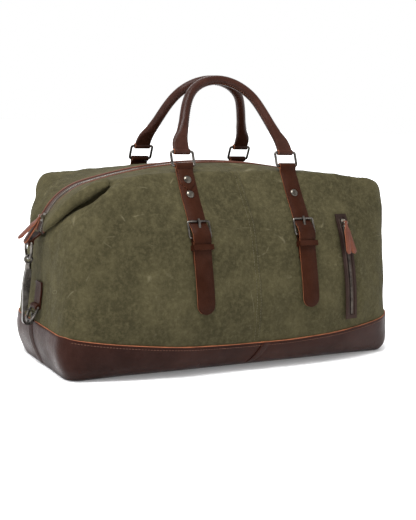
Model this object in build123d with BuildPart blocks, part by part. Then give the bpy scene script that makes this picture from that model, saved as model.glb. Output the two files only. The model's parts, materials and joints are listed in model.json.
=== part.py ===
from build123d import *
import os
from math import asin, atan2, cos, degrees, hypot, radians, sin

# Weekender bag: waxed canvas body on a leather base, two rolled leather handles on rectangular rings,
# buckled straps, a full-length top zip whose ends are drawn down by snap hooks, and a front zip pocket.
# Frame: +X along the bag's length, front of the bag facing -Y, +Z up, origin on the floor below its centre.
# Distances "u" are measured outwards from the bag's middle plane: Y = -u on the front, Y = +u on the back.

os.makedirs("parts", exist_ok=True)

# --- driving dimensions, mm ---------------------------------------------------------------------------
CANVAS = 2.0                 # thickness of the waxed canvas with its backing
LINING = 0.8
LEATHER = 2.4                # strap leather
BASE_PROUD = 1.2             # the leather base stands this much outside the canvas
RUN = 0.05                   # radial running clearance round a ring, bar or pin
GAP = 0.4                    # clearance between separate pieces that lie on each other

FLAT_HALF = 115.0            # half-length of the middle stretch with one constant section
CROWN_HALF = 290.0           # where the end section is reached
SHOULDER_Z = 300.0
TOP_Z = 312.0                # top of the canvas on the middle line
# half sections (u, z), from the floor edge up to the shoulder, in the middle and at the ends
MIDDLE_SECTION = [(95, 0), (142, 16), (162, 60), (163, 105), (150, 165), (133, 216), (106, 258),
                  (80, SHOULDER_Z)]
END_SECTION = [(112, 0), (118, 16), (119, 60), (117, 105), (113, 165), (107, 216), (100, 258),
               (88, SHOULDER_Z)]
CORNER_START, CORNER_END, CORNER_PULL = 270.0, 300.0, 26.0   # rounding of the upright corners in plan
STATIONS = [0, FLAT_HALF, 165, 215, 255, 275, 287, CORNER_END]

END_X = 287.0                # end wall
END_FLOOR_X = 281.0
END_BULGE_X = 296.0
END_ARC = 85.0               # rounding of the bag's top corners, seen from the front
END_ARC_Z = 203.0
OUTLINE_TOP_Z = 322.0        # the outline's top, above the middle section's own top
BASE_MIDDLE_Z, BASE_CORNER_Z, BASE_CORNER_X = 46.0, 68.0, 300.0   # top edge of the leather base

ZIP_ARC, ZIP_ARC_X, ZIP_ARC_Z = 95.0, 194.0, 185.0   # the zip turns down over each end on this arc
ZIP_TOP_Z = 308.0
ZIP_END_ANGLE = 10.0         # where the zip ends, above the horizontal, on that arc
ZIP_SHOULDER_ANGLE = 76.0    # where the end arc meets the long top arc
SLIDER_ANGLE = 24.0          # closed position of the slider
TEETH_HALF, TAPE_HALF, TRIM_HALF = 2.6, 13.0, 16.5
TEETH_THICK, TAPE_THICK = 3.0, 1.0
TRIM_LOW, TRIM_HIGH = -1.5, 3.0   # the leather trim's bottom and top, from the zip's line

STRAP_X, STRAP_W = 92.0, 29.0
RING_WIRE, RING_W, RING_H, RING_CORNER = 2.0, 37.0, 22.0, 3.2   # wire radius, centre-line width, height
RING_U, RING_Z, RING_LEAN = 78.5, 308.0, 21.0
HANDLE_R, HANDLE_LEAN = 7.5, 29.8
HANDLE_ARC, HANDLE_ARC_H, HANDLE_SPLAY = 70.0, 56.0, 21.0
HANDLE_LEG_H, HANDLE_TAB_H, HANDLE_TAB_W, HANDLE_TAB_T = 16.0, 26.0, 26.0, 5.0
LOOP_OUT = RING_WIRE + RUN + LEATHER

BUCKLE_WIRE, BUCKLE_W, BUCKLE_H = 1.5, 35.0, 25.0
BUCKLE_HINGE_Z, BUCKLE_V = 206.0, 4.3         # hinge bar height, and its centre's distance from the canvas
BUCKLE_TOP_V = 6.2                            # the top bar's distance from the canvas
STRAP_TIP_Z = 97.0

HARD_X, HARD_Z = 306.0, 188.0   # bar of the end ring
HARD_WIRE = 2.0
END_RING_HALF, END_RING_STRAIGHT = 14.0, 10.0
ANCHOR_X, ANCHOR_Z = 294.3, 90.0   # bar of the lower ring
HOOK_CENTRE_Z = 71.5

POCKET_X, POCKET_TURN = 172.0, 10.0            # pocket zip, and how far its face is turned in plan
POCKET_TOP_Z, POCKET_LOW_Z = 231.0, 76.0


def save(builder, name):
    """Label a finished piece and write it as its own file."""
    builder.part.label = name
    export_step(builder.part, f"parts/{name}.step")


# --- shape of the bag ---------------------------------------------------------------------------------
def shifted(points, distance):
    """Points moved sideways off a line, to its left for a positive distance."""
    moved = []
    for i, (a, b) in enumerate(points):
        before = points[max(i - 1, 0)]
        after = points[min(i + 1, len(points) - 1)]
        da, db = after[0] - before[0], after[1] - before[1]
        length = hypot(da, db)
        moved.append((a - distance * db / length, b + distance * da / length))
    return moved


def half_section(x, inset):
    """Half section at station x, moved inwards by inset (outwards when negative)."""
    across = abs(x)
    weight = max(0.0, (across - FLAT_HALF) / (CROWN_HALF - FLAT_HALF)) ** 1.6
    pull = CORNER_PULL * (max(0.0, across - CORNER_START) / (CORNER_END - CORNER_START)) ** 2
    points = []
    for (um, zm), (ue, ze) in zip(MIDDLE_SECTION, END_SECTION):
        points.append((um + (ue - um) * weight - pull, zm + (ze - zm) * weight))
    moved = shifted(points, inset)
    moved[0] = (moved[0][0], max(inset, 0.0))
    return moved


def section(x, inset):
    """Closed section of the bag on the plane at station x."""
    right = half_section(x, inset)
    left = [(-u, z) for u, z in right]
    with BuildSketch(Plane.YZ.offset(x)) as sketch:
        with BuildLine():
            Line(left[0], right[0])
            Spline(*right)
            ThreePointArc(right[-1], (0, TOP_Z - inset), left[-1])
            Spline(*reversed(left))
        make_face()
    return sketch.sketch


def outline(inset):
    """The bag's outline seen from the front, as a face."""
    floor_x, bulge_x, end_x = END_FLOOR_X - inset, END_BULGE_X - inset, END_X - inset
    radius = END_ARC - inset
    turn = radians(78)
    shoulder = (END_X - END_ARC + radius * cos(turn), END_ARC_Z + radius * sin(turn))
    middle = (END_X - END_ARC + radius * cos(turn / 2), END_ARC_Z + radius * sin(turn / 2))
    floor_z = max(inset, 0.0)
    side = [(floor_x, floor_z), (bulge_x, 45), (bulge_x - 4, 75), (end_x, 112)]
    with BuildSketch() as sketch:
        with BuildLine():
            Line((-floor_x, floor_z), (floor_x, floor_z))
            Spline(*side)
            Line((end_x, 112), (end_x, END_ARC_Z))
            ThreePointArc((end_x, END_ARC_Z), middle, shoulder)
            ThreePointArc(shoulder, (0, OUTLINE_TOP_Z - inset), (-shoulder[0], shoulder[1]))
            ThreePointArc((-shoulder[0], shoulder[1]), (-middle[0], middle[1]), (-end_x, END_ARC_Z))
            Line((-end_x, END_ARC_Z), (-end_x, 112))
            Spline(*reversed([(-x, z) for x, z in side]))
        make_face()
    return sketch.sketch


def bag_solid(inset):
    """The whole bag as one solid, moved inwards by inset."""
    sections = [section(x, inset) for x in [-s for s in reversed(STATIONS[1:])] + STATIONS]
    front_view = outline(inset)
    with BuildPart() as solid:
        loft(sections, ruled=True)
        with BuildSketch(Plane.XZ):
            add(front_view)
        extrude(amount=260, both=True, mode=Mode.INTERSECT)
    return solid.part


OUTSIDE = bag_solid(0)
INSIDE = bag_solid(CANVAS)
LEATHER_OUTSIDE = bag_solid(-BASE_PROUD)
FACE_LINE = Spline(*[(u, z) for u, z in MIDDLE_SECTION])


def face_point(z, off):
    """Point (u, z) at a height on the middle section's side, then moved outwards by off."""
    low, high = 0.0, 1.0
    for _ in range(40):
        middle = (low + high) / 2
        if FACE_LINE.position_at(middle).Y < z:
            low = middle
        else:
            high = middle
    spot, along = FACE_LINE.position_at(low), FACE_LINE.tangent_at(low)
    return spot.X + along.Y * off, spot.Y - along.X * off


def face_tilt(z):
    """Tangent of the middle section's side at a height, as (du, dz)."""
    a, b = face_point(z - 1, 0), face_point(z + 1, 0)
    length = hypot(b[0] - a[0], b[1] - a[1])
    return (b[0] - a[0]) / length, (b[1] - a[1]) / length


# --- canvas panels and leather base -------------------------------------------------------------------
# everything under the smile-shaped top edge of the leather base
with BuildPart() as base_region:
    with BuildSketch(Plane.XZ):
        with BuildLine():
            ThreePointArc((-BASE_CORNER_X, BASE_CORNER_Z), (0, BASE_MIDDLE_Z),
                          (BASE_CORNER_X, BASE_CORNER_Z))
            Polyline((BASE_CORNER_X, BASE_CORNER_Z), (BASE_CORNER_X + 20, -5),
                     (-BASE_CORNER_X - 20, -5), (-BASE_CORNER_X, BASE_CORNER_Z))
        make_face()
    extrude(amount=260, both=True)

QUARTERS = [("front_left", -1, -1), ("front_right", 1, -1), ("back_left", -1, 1), ("back_right", 1, 1)]
BASE_PATH = [(-272, -106), (-90, -90), (90, -90), (272, -106), (272, 106), (90, 90), (-90, 90), (-272, 106)]
PIPING_R = 2.5


def plan(widen):
    """The bottom's plan, widened by an amount, as a face."""
    points = []
    for x, y in BASE_PATH:
        points.append((x + (widen if x > 0 else -widen) * (abs(x) > 100), y + (widen if y > 0 else -widen)))
    with BuildSketch() as sketch:
        with BuildLine():
            FilletPolyline(*points, radius=14, close=True)
        make_face()
    return sketch.sketch


with BuildPart() as bottom_hole:
    with BuildSketch(Plane.XY.offset(-1)):
        add(plan(PIPING_R + 0.5))
    extrude(amount=1 + 2 * PIPING_R + 0.2)

for label, side_x, side_y in QUARTERS:
    with BuildPart() as canvas_panel:
        add(OUTSIDE)
        add(INSIDE, mode=Mode.SUBTRACT)
        add(base_region.part, mode=Mode.SUBTRACT)
        with Locations((0, 0, 300)):
            Box(700, 2 * TRIM_HALF, 204, mode=Mode.SUBTRACT)
        with Locations((side_x * 200, side_y * 125, 200)):
            Box(400, 250, 420, mode=Mode.INTERSECT)
    save(canvas_panel, f"canvas_{label}")

    with BuildPart() as base_leather:
        add(LEATHER_OUTSIDE)
        add(INSIDE, mode=Mode.SUBTRACT)
        add(base_region.part, mode=Mode.INTERSECT)
        add(bottom_hole.part, mode=Mode.SUBTRACT)
        with Locations((side_x * 200, side_y * 125, 200)):
            Box(400, 250, 420, mode=Mode.INTERSECT)
    save(base_leather, f"base_leather_{label}")

with BuildPart() as bottom_panel:
    with BuildSketch():
        add(plan(-PIPING_R - 0.5))
    extrude(amount=2.6)
save(bottom_panel, "bottom_panel")

with BuildPart() as bottom_piping:
    with BuildLine(Plane.XY.offset(PIPING_R)) as piping_path:
        FilletPolyline(*BASE_PATH, radius=14, close=True)
    with BuildSketch(Plane(origin=piping_path.line @ 0, z_dir=piping_path.line % 0)):
        Circle(PIPING_R)
    sweep(path=piping_path.line)
save(bottom_piping, "bottom_piping")

BOARD_Z, BOARD_T = 5.6, 2.6
with BuildPart() as base_board:
    with BuildSketch(Plane.XY.offset(BOARD_Z)):
        add(plan(-PIPING_R - 3))
    extrude(amount=BOARD_T)
save(base_board, "base_board")

LINING_FLOOR_Z = BOARD_Z + BOARD_T + 0.2
LINING_OUT = bag_solid(CANVAS + 0.6)
LINING_IN = bag_solid(CANVAS + 0.6 + LINING)
with BuildPart() as lining_hollow:
    add(LINING_IN)
    with Locations((0, 0, LINING_FLOOR_Z + LINING + 200)):
        Box(700, 400, 400, mode=Mode.INTERSECT)
with BuildPart() as lining:
    add(LINING_OUT)
    with Locations((0, 0, LINING_FLOOR_Z + 200)):
        Box(700, 400, 400, mode=Mode.INTERSECT)
    add(lining_hollow.part, mode=Mode.SUBTRACT)
    with Locations((0, 0, 300)):
        Box(700, 2 * TRIM_HALF + 1, 206, mode=Mode.SUBTRACT)
save(lining, "lining")

# --- main zip -----------------------------------------------------------------------------------------
ZIP_CUT_Z = ZIP_ARC_Z + ZIP_ARC * sin(radians(ZIP_END_ANGLE))


def zip_point(angle, off):
    """Point (x, z) of the zip's line over the left end, at an angle above the horizontal."""
    reach = ZIP_ARC + off
    return -ZIP_ARC_X - reach * cos(radians(angle)), ZIP_ARC_Z + reach * sin(radians(angle))


def zip_face(off):
    """Everything below the zip's line moved outwards by off, down to a level under its ends."""
    reach = ZIP_ARC + off
    half, full = radians(ZIP_SHOULDER_ANGLE / 2), radians(ZIP_SHOULDER_ANGLE)
    low = (ZIP_ARC_X + reach, ZIP_ARC_Z)
    middle = (ZIP_ARC_X + reach * cos(half), ZIP_ARC_Z + reach * sin(half))
    high = (ZIP_ARC_X + reach * cos(full), ZIP_ARC_Z + reach * sin(full))
    with BuildSketch() as sketch:
        with BuildLine():
            Line((-low[0], low[1]), low)
            ThreePointArc(low, middle, high)
            ThreePointArc(high, (0, ZIP_TOP_Z + off), (-high[0], high[1]))
            ThreePointArc((-high[0], high[1]), (-middle[0], middle[1]), (-low[0], low[1]))
        make_face()
    return sketch.sketch


def zip_band(inner, outer, near, far, side_y):
    """Strip between two offsets of the zip's line, from Y near to Y far on one side of it."""
    with BuildPart() as band:
        with BuildSketch(Plane.XZ.offset(-side_y * near)):
            add(zip_face(outer))
            add(zip_face(inner), mode=Mode.SUBTRACT)
            with Locations((0, ZIP_CUT_Z - 50)):
                Rectangle(700, 100, mode=Mode.SUBTRACT)
        extrude(amount=-side_y * (far - near))
    return band


for side_name, side_y in (("front", -1), ("back", 1)):
    save(zip_band(-TAPE_THICK / 2, TAPE_THICK / 2, TEETH_HALF, TAPE_HALF, side_y),
         f"main_zip_tape_{side_name}")
    save(zip_band(-TEETH_THICK / 2, TEETH_THICK / 2, 0, TEETH_HALF, side_y),
         f"main_zip_teeth_{side_name}")
    save(zip_band(TRIM_LOW, TRIM_HIGH, TAPE_HALF, TRIM_HALF, side_y), f"main_zip_trim_{side_name}")


def along_left_zip(off):
    """Plane on the zip's line at the slider's closed place: x across the bag, y outwards."""
    x, z = zip_point(SLIDER_ANGLE, off)
    turn = radians(SLIDER_ANGLE)
    return Plane(origin=(x, 0, z), x_dir=(0, 1, 0), z_dir=(sin(turn), 0, cos(turn)))


SLIDER_LOW, SLIDER_HALF_W, SLIDER_LENGTH = TEETH_THICK / 2 + GAP, 5.5, 13.0
BAIL_OFF, PULL_PIN = 7.4, 1.2
BAIL_X, BAIL_Z = zip_point(SLIDER_ANGLE, BAIL_OFF)
with BuildPart() as main_zip_slider:
    with BuildSketch(along_left_zip(SLIDER_LOW + 1.0).offset(-SLIDER_LENGTH / 2)):
        Rectangle(2 * SLIDER_HALF_W, 2.0)
        with Locations((SLIDER_HALF_W - 0.6, -1.0), (-SLIDER_HALF_W + 0.6, -1.0)):
            Rectangle(1.2, 1.6)
    extrude(amount=SLIDER_LENGTH)
    with BuildSketch(Plane.XZ.offset(-5)):
        with Locations((BAIL_X, BAIL_Z)):
            Circle(2.3)
        with BuildLine():
            Polyline(zip_point(SLIDER_ANGLE - 1.3, BAIL_OFF), zip_point(SLIDER_ANGLE + 1.3, BAIL_OFF),
                     zip_point(SLIDER_ANGLE + 2.6, SLIDER_LOW + 1),
                     zip_point(SLIDER_ANGLE - 2.6, SLIDER_LOW + 1),
                     close=True)
        make_face()
    extrude(amount=1.5)
    mirror(about=Plane.XZ)
    with Locations(Plane(origin=(BAIL_X, 0, BAIL_Z), z_dir=(0, 1, 0))):
        Cylinder(PULL_PIN, 9)
save(main_zip_slider, "main_zip_slider")


def strip(points, thickness):
    """Face of constant thickness along a smooth line, closed with straight ends."""
    one, other = shifted(points, thickness / 2), shifted(points, -thickness / 2)
    with BuildSketch() as sketch:
        with BuildLine():
            Spline(*one)
            Line(one[-1], other[-1])
            Spline(*reversed(other))
            Line(other[0], one[0])
        make_face()
    return sketch.sketch


def puller(pin_radius, width, length, eye_width):
    """Leather puller on its own axes: eye along X at the origin, two leaves hanging along -Y."""
    eye = pin_radius + RUN
    with BuildPart() as tongue:
        with BuildSketch(Plane.YZ.offset(-eye_width / 2)):
            Circle(eye + 1.6)
            with Locations((-6, 0)):
                Rectangle(10, 2 * (eye + 1.6) * 0.7)
            Circle(eye, mode=Mode.SUBTRACT)
        extrude(amount=eye_width)
        with BuildSketch(Plane.XY.offset(-2.0)):
            with Locations((0, -12)):
                Rectangle(eye_width, 9)
            with Locations((0, -14 - (length - 14 - width / 2) / 2)):
                Rectangle(width, length - 14 - width / 2)
            with Locations((0, -length + width / 2)):
                Circle(width / 2)
            with Locations((0, -14)):
                Circle(width / 2)
        extrude(amount=4.0)
    return tongue.part


PULLER_DROP = 38.0           # how far from upright the main puller hangs, degrees
MAIN_PULLER_LENGTH = 48.0
puller_down = (-sin(radians(PULLER_DROP)), 0, -cos(radians(PULLER_DROP)))
main_puller_place = Plane(origin=(BAIL_X, 0, BAIL_Z), x_dir=(0, -1, 0),
                          z_dir=Vector(0, -1, 0).cross(Vector(*puller_down) * -1))
with BuildPart() as main_zip_puller:
    add(main_puller_place.location * puller(PULL_PIN, 18, MAIN_PULLER_LENGTH, 5.6))
save(main_zip_puller, "main_zip_puller")

# --- straps, rings, handles ---------------------------------------------------------------------------
FACE_OFF = 0.5 + LEATHER / 2                       # centre of a strap that lies on the canvas
TAIL_OFF = FACE_OFF + LEATHER + GAP
HINGE_LOOP_OUT = BUCKLE_WIRE + RUN + 2.0
OVER_HINGE = BUCKLE_V + HINGE_LOOP_OUT + GAP + LEATHER / 2


def front_strap_line():
    """Centre line (u, z) of a front strap, from its ring down to its hanging tip."""
    line = [(RING_U + LOOP_OUT - LEATHER / 2 - 0.2, RING_Z), (RING_U + LOOP_OUT - 0.3, RING_Z - 7)]
    for z in (291, 279, 267, 255, 245, 238, 232):
        line.append(face_point(z, FACE_OFF))
    for z, off in ((224, 3.4), (216, 7.0), (207, OVER_HINGE), (199, 8.0), (193, 6.2), (187, 5.1),
                   (179, TAIL_OFF + 0.2)):
        line.append(face_point(z, off))
    for z in (165, 145, 125, 108, STRAP_TIP_Z - 2):
        line.append(face_point(z, TAIL_OFF))
    return line


def back_strap_line():
    """Centre line (u, z) of a back strap, from its ring down to the leather base."""
    line = [(RING_U + LOOP_OUT - LEATHER / 2 - 0.2, RING_Z), (RING_U + LOOP_OUT - 0.3, RING_Z - 7)]
    for z in (291, 270, 245, 216, 185, 155, 125, 95, 70):
        line.append(face_point(z, FACE_OFF))
    return line


def mirrored(points, side_y):
    """Points (u, z) as (y, z) on the front or the back."""
    return [(side_y * u, z) for u, z in points]


PRONG_SLOT_W = 4.8
for side_name, side_x in (("left", -1), ("right", 1)):
    with BuildPart() as strap:
        with BuildSketch(Plane.YZ.offset(side_x * STRAP_X - STRAP_W / 2)):
            add(strip(mirrored(front_strap_line(), -1), LEATHER))
            with Locations((-RING_U, RING_Z)):
                Circle(LOOP_OUT)
                Circle(RING_WIRE + RUN, mode=Mode.SUBTRACT)
        extrude(amount=STRAP_W)
        with BuildSketch(Plane.XZ):
            with Locations((side_x * STRAP_X, (STRAP_TIP_Z + 330 + STRAP_W / 2) / 2)):
                Rectangle(STRAP_W + 1, 330 - STRAP_TIP_Z - STRAP_W / 2)
            with Locations((side_x * STRAP_X, STRAP_TIP_Z + STRAP_W / 2)):
                Circle(STRAP_W / 2)
        extrude(amount=260, both=True, mode=Mode.INTERSECT)
        with Locations((side_x * STRAP_X, -150, 217)):
            Box(PRONG_SLOT_W, 60, 25, mode=Mode.SUBTRACT)
    save(strap, f"strap_front_{side_name}")

    with BuildPart() as back_strap:
        with BuildSketch(Plane.YZ.offset(side_x * STRAP_X - STRAP_W / 2)):
            add(strip(mirrored(back_strap_line(), 1), LEATHER))
            with Locations((RING_U, RING_Z)):
                Circle(LOOP_OUT)
                Circle(RING_WIRE + RUN, mode=Mode.SUBTRACT)
        extrude(amount=STRAP_W)
    save(back_strap, f"strap_back_{side_name}")

    hinge_u, hinge_z = face_point(BUCKLE_HINGE_Z, BUCKLE_V)
    chape_line = [face_point(z, FACE_OFF) for z in (BUCKLE_HINGE_Z, 198, 190, 180, 170)]
    with BuildPart() as chape:
        with BuildSketch(Plane.YZ.offset(side_x * STRAP_X - STRAP_W / 2)):
            add(strip(mirrored(chape_line, -1), LEATHER))
            with Locations((-hinge_u, hinge_z)):
                Circle(HINGE_LOOP_OUT)
                Circle(BUCKLE_WIRE + RUN, mode=Mode.SUBTRACT)
        extrude(amount=STRAP_W)
        with Locations((side_x * STRAP_X, -hinge_u, hinge_z)):
            Box(PRONG_SLOT_W, 30, 9.5, mode=Mode.SUBTRACT)
    save(chape, f"chape_{side_name}")

    top_u, top_z = face_point(BUCKLE_HINGE_Z + BUCKLE_H, BUCKLE_TOP_V)
    buckle_up = Vector(0, hinge_u - top_u, top_z - hinge_z)
    buckle_plane = Plane(origin=(side_x * STRAP_X, -hinge_u, hinge_z), x_dir=(1, 0, 0),
                         z_dir=Vector(1, 0, 0).cross(buckle_up))
    with BuildPart() as buckle:
        with BuildLine(buckle_plane) as buckle_path:
            FilletPolyline((-BUCKLE_W / 2, 0), (-BUCKLE_W / 2, BUCKLE_H), (BUCKLE_W / 2, BUCKLE_H),
                           (BUCKLE_W / 2, 0), radius=2.6, close=True)
        with BuildSketch(Plane(origin=buckle_path.line @ 0, z_dir=buckle_path.line % 0)):
            Circle(BUCKLE_WIRE)
        sweep(path=buckle_path.line)
    save(buckle, f"buckle_{side_name}")

    prong_rise = BUCKLE_WIRE + 0.3 + 1.2
    with BuildPart() as prong:
        with BuildSketch(Plane(origin=buckle_plane.origin, x_dir=buckle_plane.y_dir,
                               z_dir=buckle_plane.x_dir).offset(-1.7)):
            Circle(BUCKLE_WIRE + RUN + 1.5)
            with BuildLine():
                Polyline((2.6, -1.2), (8, -0.6), (BUCKLE_H - 3.5, prong_rise - 1.4),
                         (BUCKLE_H, prong_rise - 1.2),
                         (BUCKLE_H + 3.0, prong_rise - 1.8), (BUCKLE_H + 3.4, prong_rise - 0.2),
                         (BUCKLE_H - 2, prong_rise + 0.8), (8, 2.0), (1.5, 2.6), close=True)
            make_face()
            Circle(BUCKLE_WIRE + RUN, mode=Mode.SUBTRACT)
        extrude(amount=3.4)
    save(prong, f"buckle_prong_{side_name}")

KEEPER_Z, KEEPER_LONG, KEEPER_T = 192.0, 8.0, 1.6
KEEPER_TOP = 11.2
with BuildPart() as strap_keepers:
    for side_x in (-1, 1):
        keeper_u, keeper_z = face_point(KEEPER_Z, 0)
        du, dz = face_tilt(KEEPER_Z)
        across = Plane(origin=(side_x * STRAP_X, -keeper_u, keeper_z), x_dir=(1, 0, 0), z_dir=(0, -du, dz))
        half = STRAP_W / 2 + GAP
        with BuildSketch(across.offset(-KEEPER_LONG / 2)):
            with Locations((0, -(KEEPER_TOP + 0.3) / 2)):
                Rectangle(2 * (half + KEEPER_T), KEEPER_TOP - 0.3)
                Rectangle(2 * half, KEEPER_TOP - 0.3, mode=Mode.SUBTRACT)
            with Locations((0, -KEEPER_TOP + KEEPER_T / 2)):
                Rectangle(2 * (half + KEEPER_T), KEEPER_T)
        extrude(amount=KEEPER_LONG)
save(strap_keepers, "strap_keepers")

# rivets: (side, height, domed cap wanted); they sit on the straps and close on caps inside the lining
RIVETS = [(-1, 286.0), (-1, 266.0), (1, 266.0)]
RIVET_R = 5.2


def strap_plane(x, z, off):
    """Plane square to the front face at a height: its z axis points outwards."""
    u, height = face_point(z, off)
    du, dz = face_tilt(z)
    return Plane(origin=(x, -u, height), x_dir=(1, 0, 0), z_dir=(0, -dz, -du))


with BuildPart() as strap_rivets:
    for side_x, z in RIVETS:
        with BuildSketch(strap_plane(side_x * STRAP_X, z, FACE_OFF + LEATHER / 2 + 0.1)):
            Circle(RIVET_R)
        extrude(amount=2.2, taper=22)
save(strap_rivets, "strap_rivets")

with BuildPart() as rivet_backs:
    for side_x, z in RIVETS:
        with BuildSketch(strap_plane(side_x * STRAP_X, z, -(CANVAS + 0.6 + LINING + 0.6))):
            Circle(4.5)
        extrude(amount=-1.2)
save(rivet_backs, "rivet_backs")


def ring_plane(x, side_y):
    """Plane of a handle ring: x along its bars, y from the lower bar to the upper one."""
    lean = radians(RING_LEAN)
    up = Vector(0, -side_y * sin(lean), cos(lean))
    return Plane(origin=(x, side_y * RING_U, RING_Z), x_dir=(1, 0, 0), z_dir=Vector(1, 0, 0).cross(up))


UPPER_U = RING_U - RING_H * sin(radians(RING_LEAN))
UPPER_Z = RING_Z + RING_H * cos(radians(RING_LEAN))


def handle_plane(side_y):
    """Plane of a handle: x along the bag, y from its rings to its crown."""
    lean = radians(HANDLE_LEAN)
    up = Vector(0, -side_y * sin(lean), cos(lean))
    return Plane(origin=(0, side_y * UPPER_U, UPPER_Z), x_dir=(1, 0, 0), z_dir=Vector(1, 0, 0).cross(up))


splay = radians(HANDLE_SPLAY)
TANGENT = (HANDLE_ARC * cos(splay), HANDLE_ARC_H + HANDLE_ARC * sin(splay))
LEG_END = (TANGENT[0] + (TANGENT[1] - HANDLE_LEG_H) * sin(splay) / cos(splay), HANDLE_LEG_H)
for side_name, side_y in (("front", -1), ("back", 1)):
    for end_name, side_x in (("left", -1), ("right", 1)):
        with BuildPart() as ring:
            with BuildLine(ring_plane(side_x * STRAP_X, side_y)) as ring_path:
                FilletPolyline((-RING_W / 2, 0), (-RING_W / 2, RING_H), (RING_W / 2, RING_H),
                               (RING_W / 2, 0),
                               radius=RING_CORNER, close=True)
            with BuildSketch(Plane(origin=ring_path.line @ 0, z_dir=ring_path.line % 0)):
                Circle(RING_WIRE)
            sweep(path=ring_path.line)
        save(ring, f"ring_{side_name}_{end_name}")

    place = handle_plane(side_y)
    with BuildPart() as handle:
        with BuildLine(place) as handle_path:
            Line((-LEG_END[0], LEG_END[1]), (-TANGENT[0], TANGENT[1]))
            ThreePointArc((-TANGENT[0], TANGENT[1]), (0, HANDLE_ARC_H + HANDLE_ARC), TANGENT)
            Line(TANGENT, LEG_END)
        with BuildSketch(Plane(origin=handle_path.line @ 0, z_dir=handle_path.line % 0)):
            Circle(HANDLE_R)
        sweep(path=handle_path.line)
        for side_x in (-1, 1):
            tab_end = place.from_local_coords(Vector(side_x * STRAP_X - HANDLE_TAB_W / 2, 0, 0))
            with BuildSketch(Plane(origin=tab_end, x_dir=place.y_dir, z_dir=place.x_dir)):
                Circle(LOOP_OUT)
                with Locations((HANDLE_TAB_H / 2 + 1.0, 0)):
                    Rectangle(HANDLE_TAB_H - 2.0 + 1.0, HANDLE_TAB_T)
                Circle(RING_WIRE + RUN, mode=Mode.SUBTRACT)
            extrude(amount=HANDLE_TAB_W)
    save(handle, f"handle_{side_name}")

# --- end hardware -------------------------------------------------------------------------------------
EYE_R, EYE_WIRE, COLLAR_R, STEM_R = 5.5, 1.75, 4.4, 2.2
BOW_Z = HARD_Z - END_RING_STRAIGHT - END_RING_HALF
EYE_Z = BOW_Z + HARD_WIRE + 0.25 - (EYE_R - EYE_WIRE)
COLLAR_TOP, COLLAR_LOW = EYE_Z - EYE_R + 0.4, EYE_Z - EYE_R - 9.0
HOOK_R, HOOK_HALF = 7.4, 1.75   # hook's centre line radius, and half the thickness of its bow
SHANK_TOP = COLLAR_LOW - GAP
GATE_Z = HOOK_CENTRE_Z + 14.0


def d_path(plane, half, straight):
    """D-shaped centre line on a plane: bar through the origin along x, bow towards -y."""
    with BuildLine(plane) as path:
        Line((0, 0), (half - 2, 0))
        JernArc((half - 2, 0), (1, 0), 2, -90)
        Line((half, -2), (half, -straight))
        ThreePointArc((half, -straight), (0, -straight - half), (-half, -straight))
        Line((-half, -straight), (-half, -2))
        JernArc((-half, -2), (0, 1), 2, -90)
        Line((-half + 2, 0), (0, 0))
    return path.line


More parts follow.
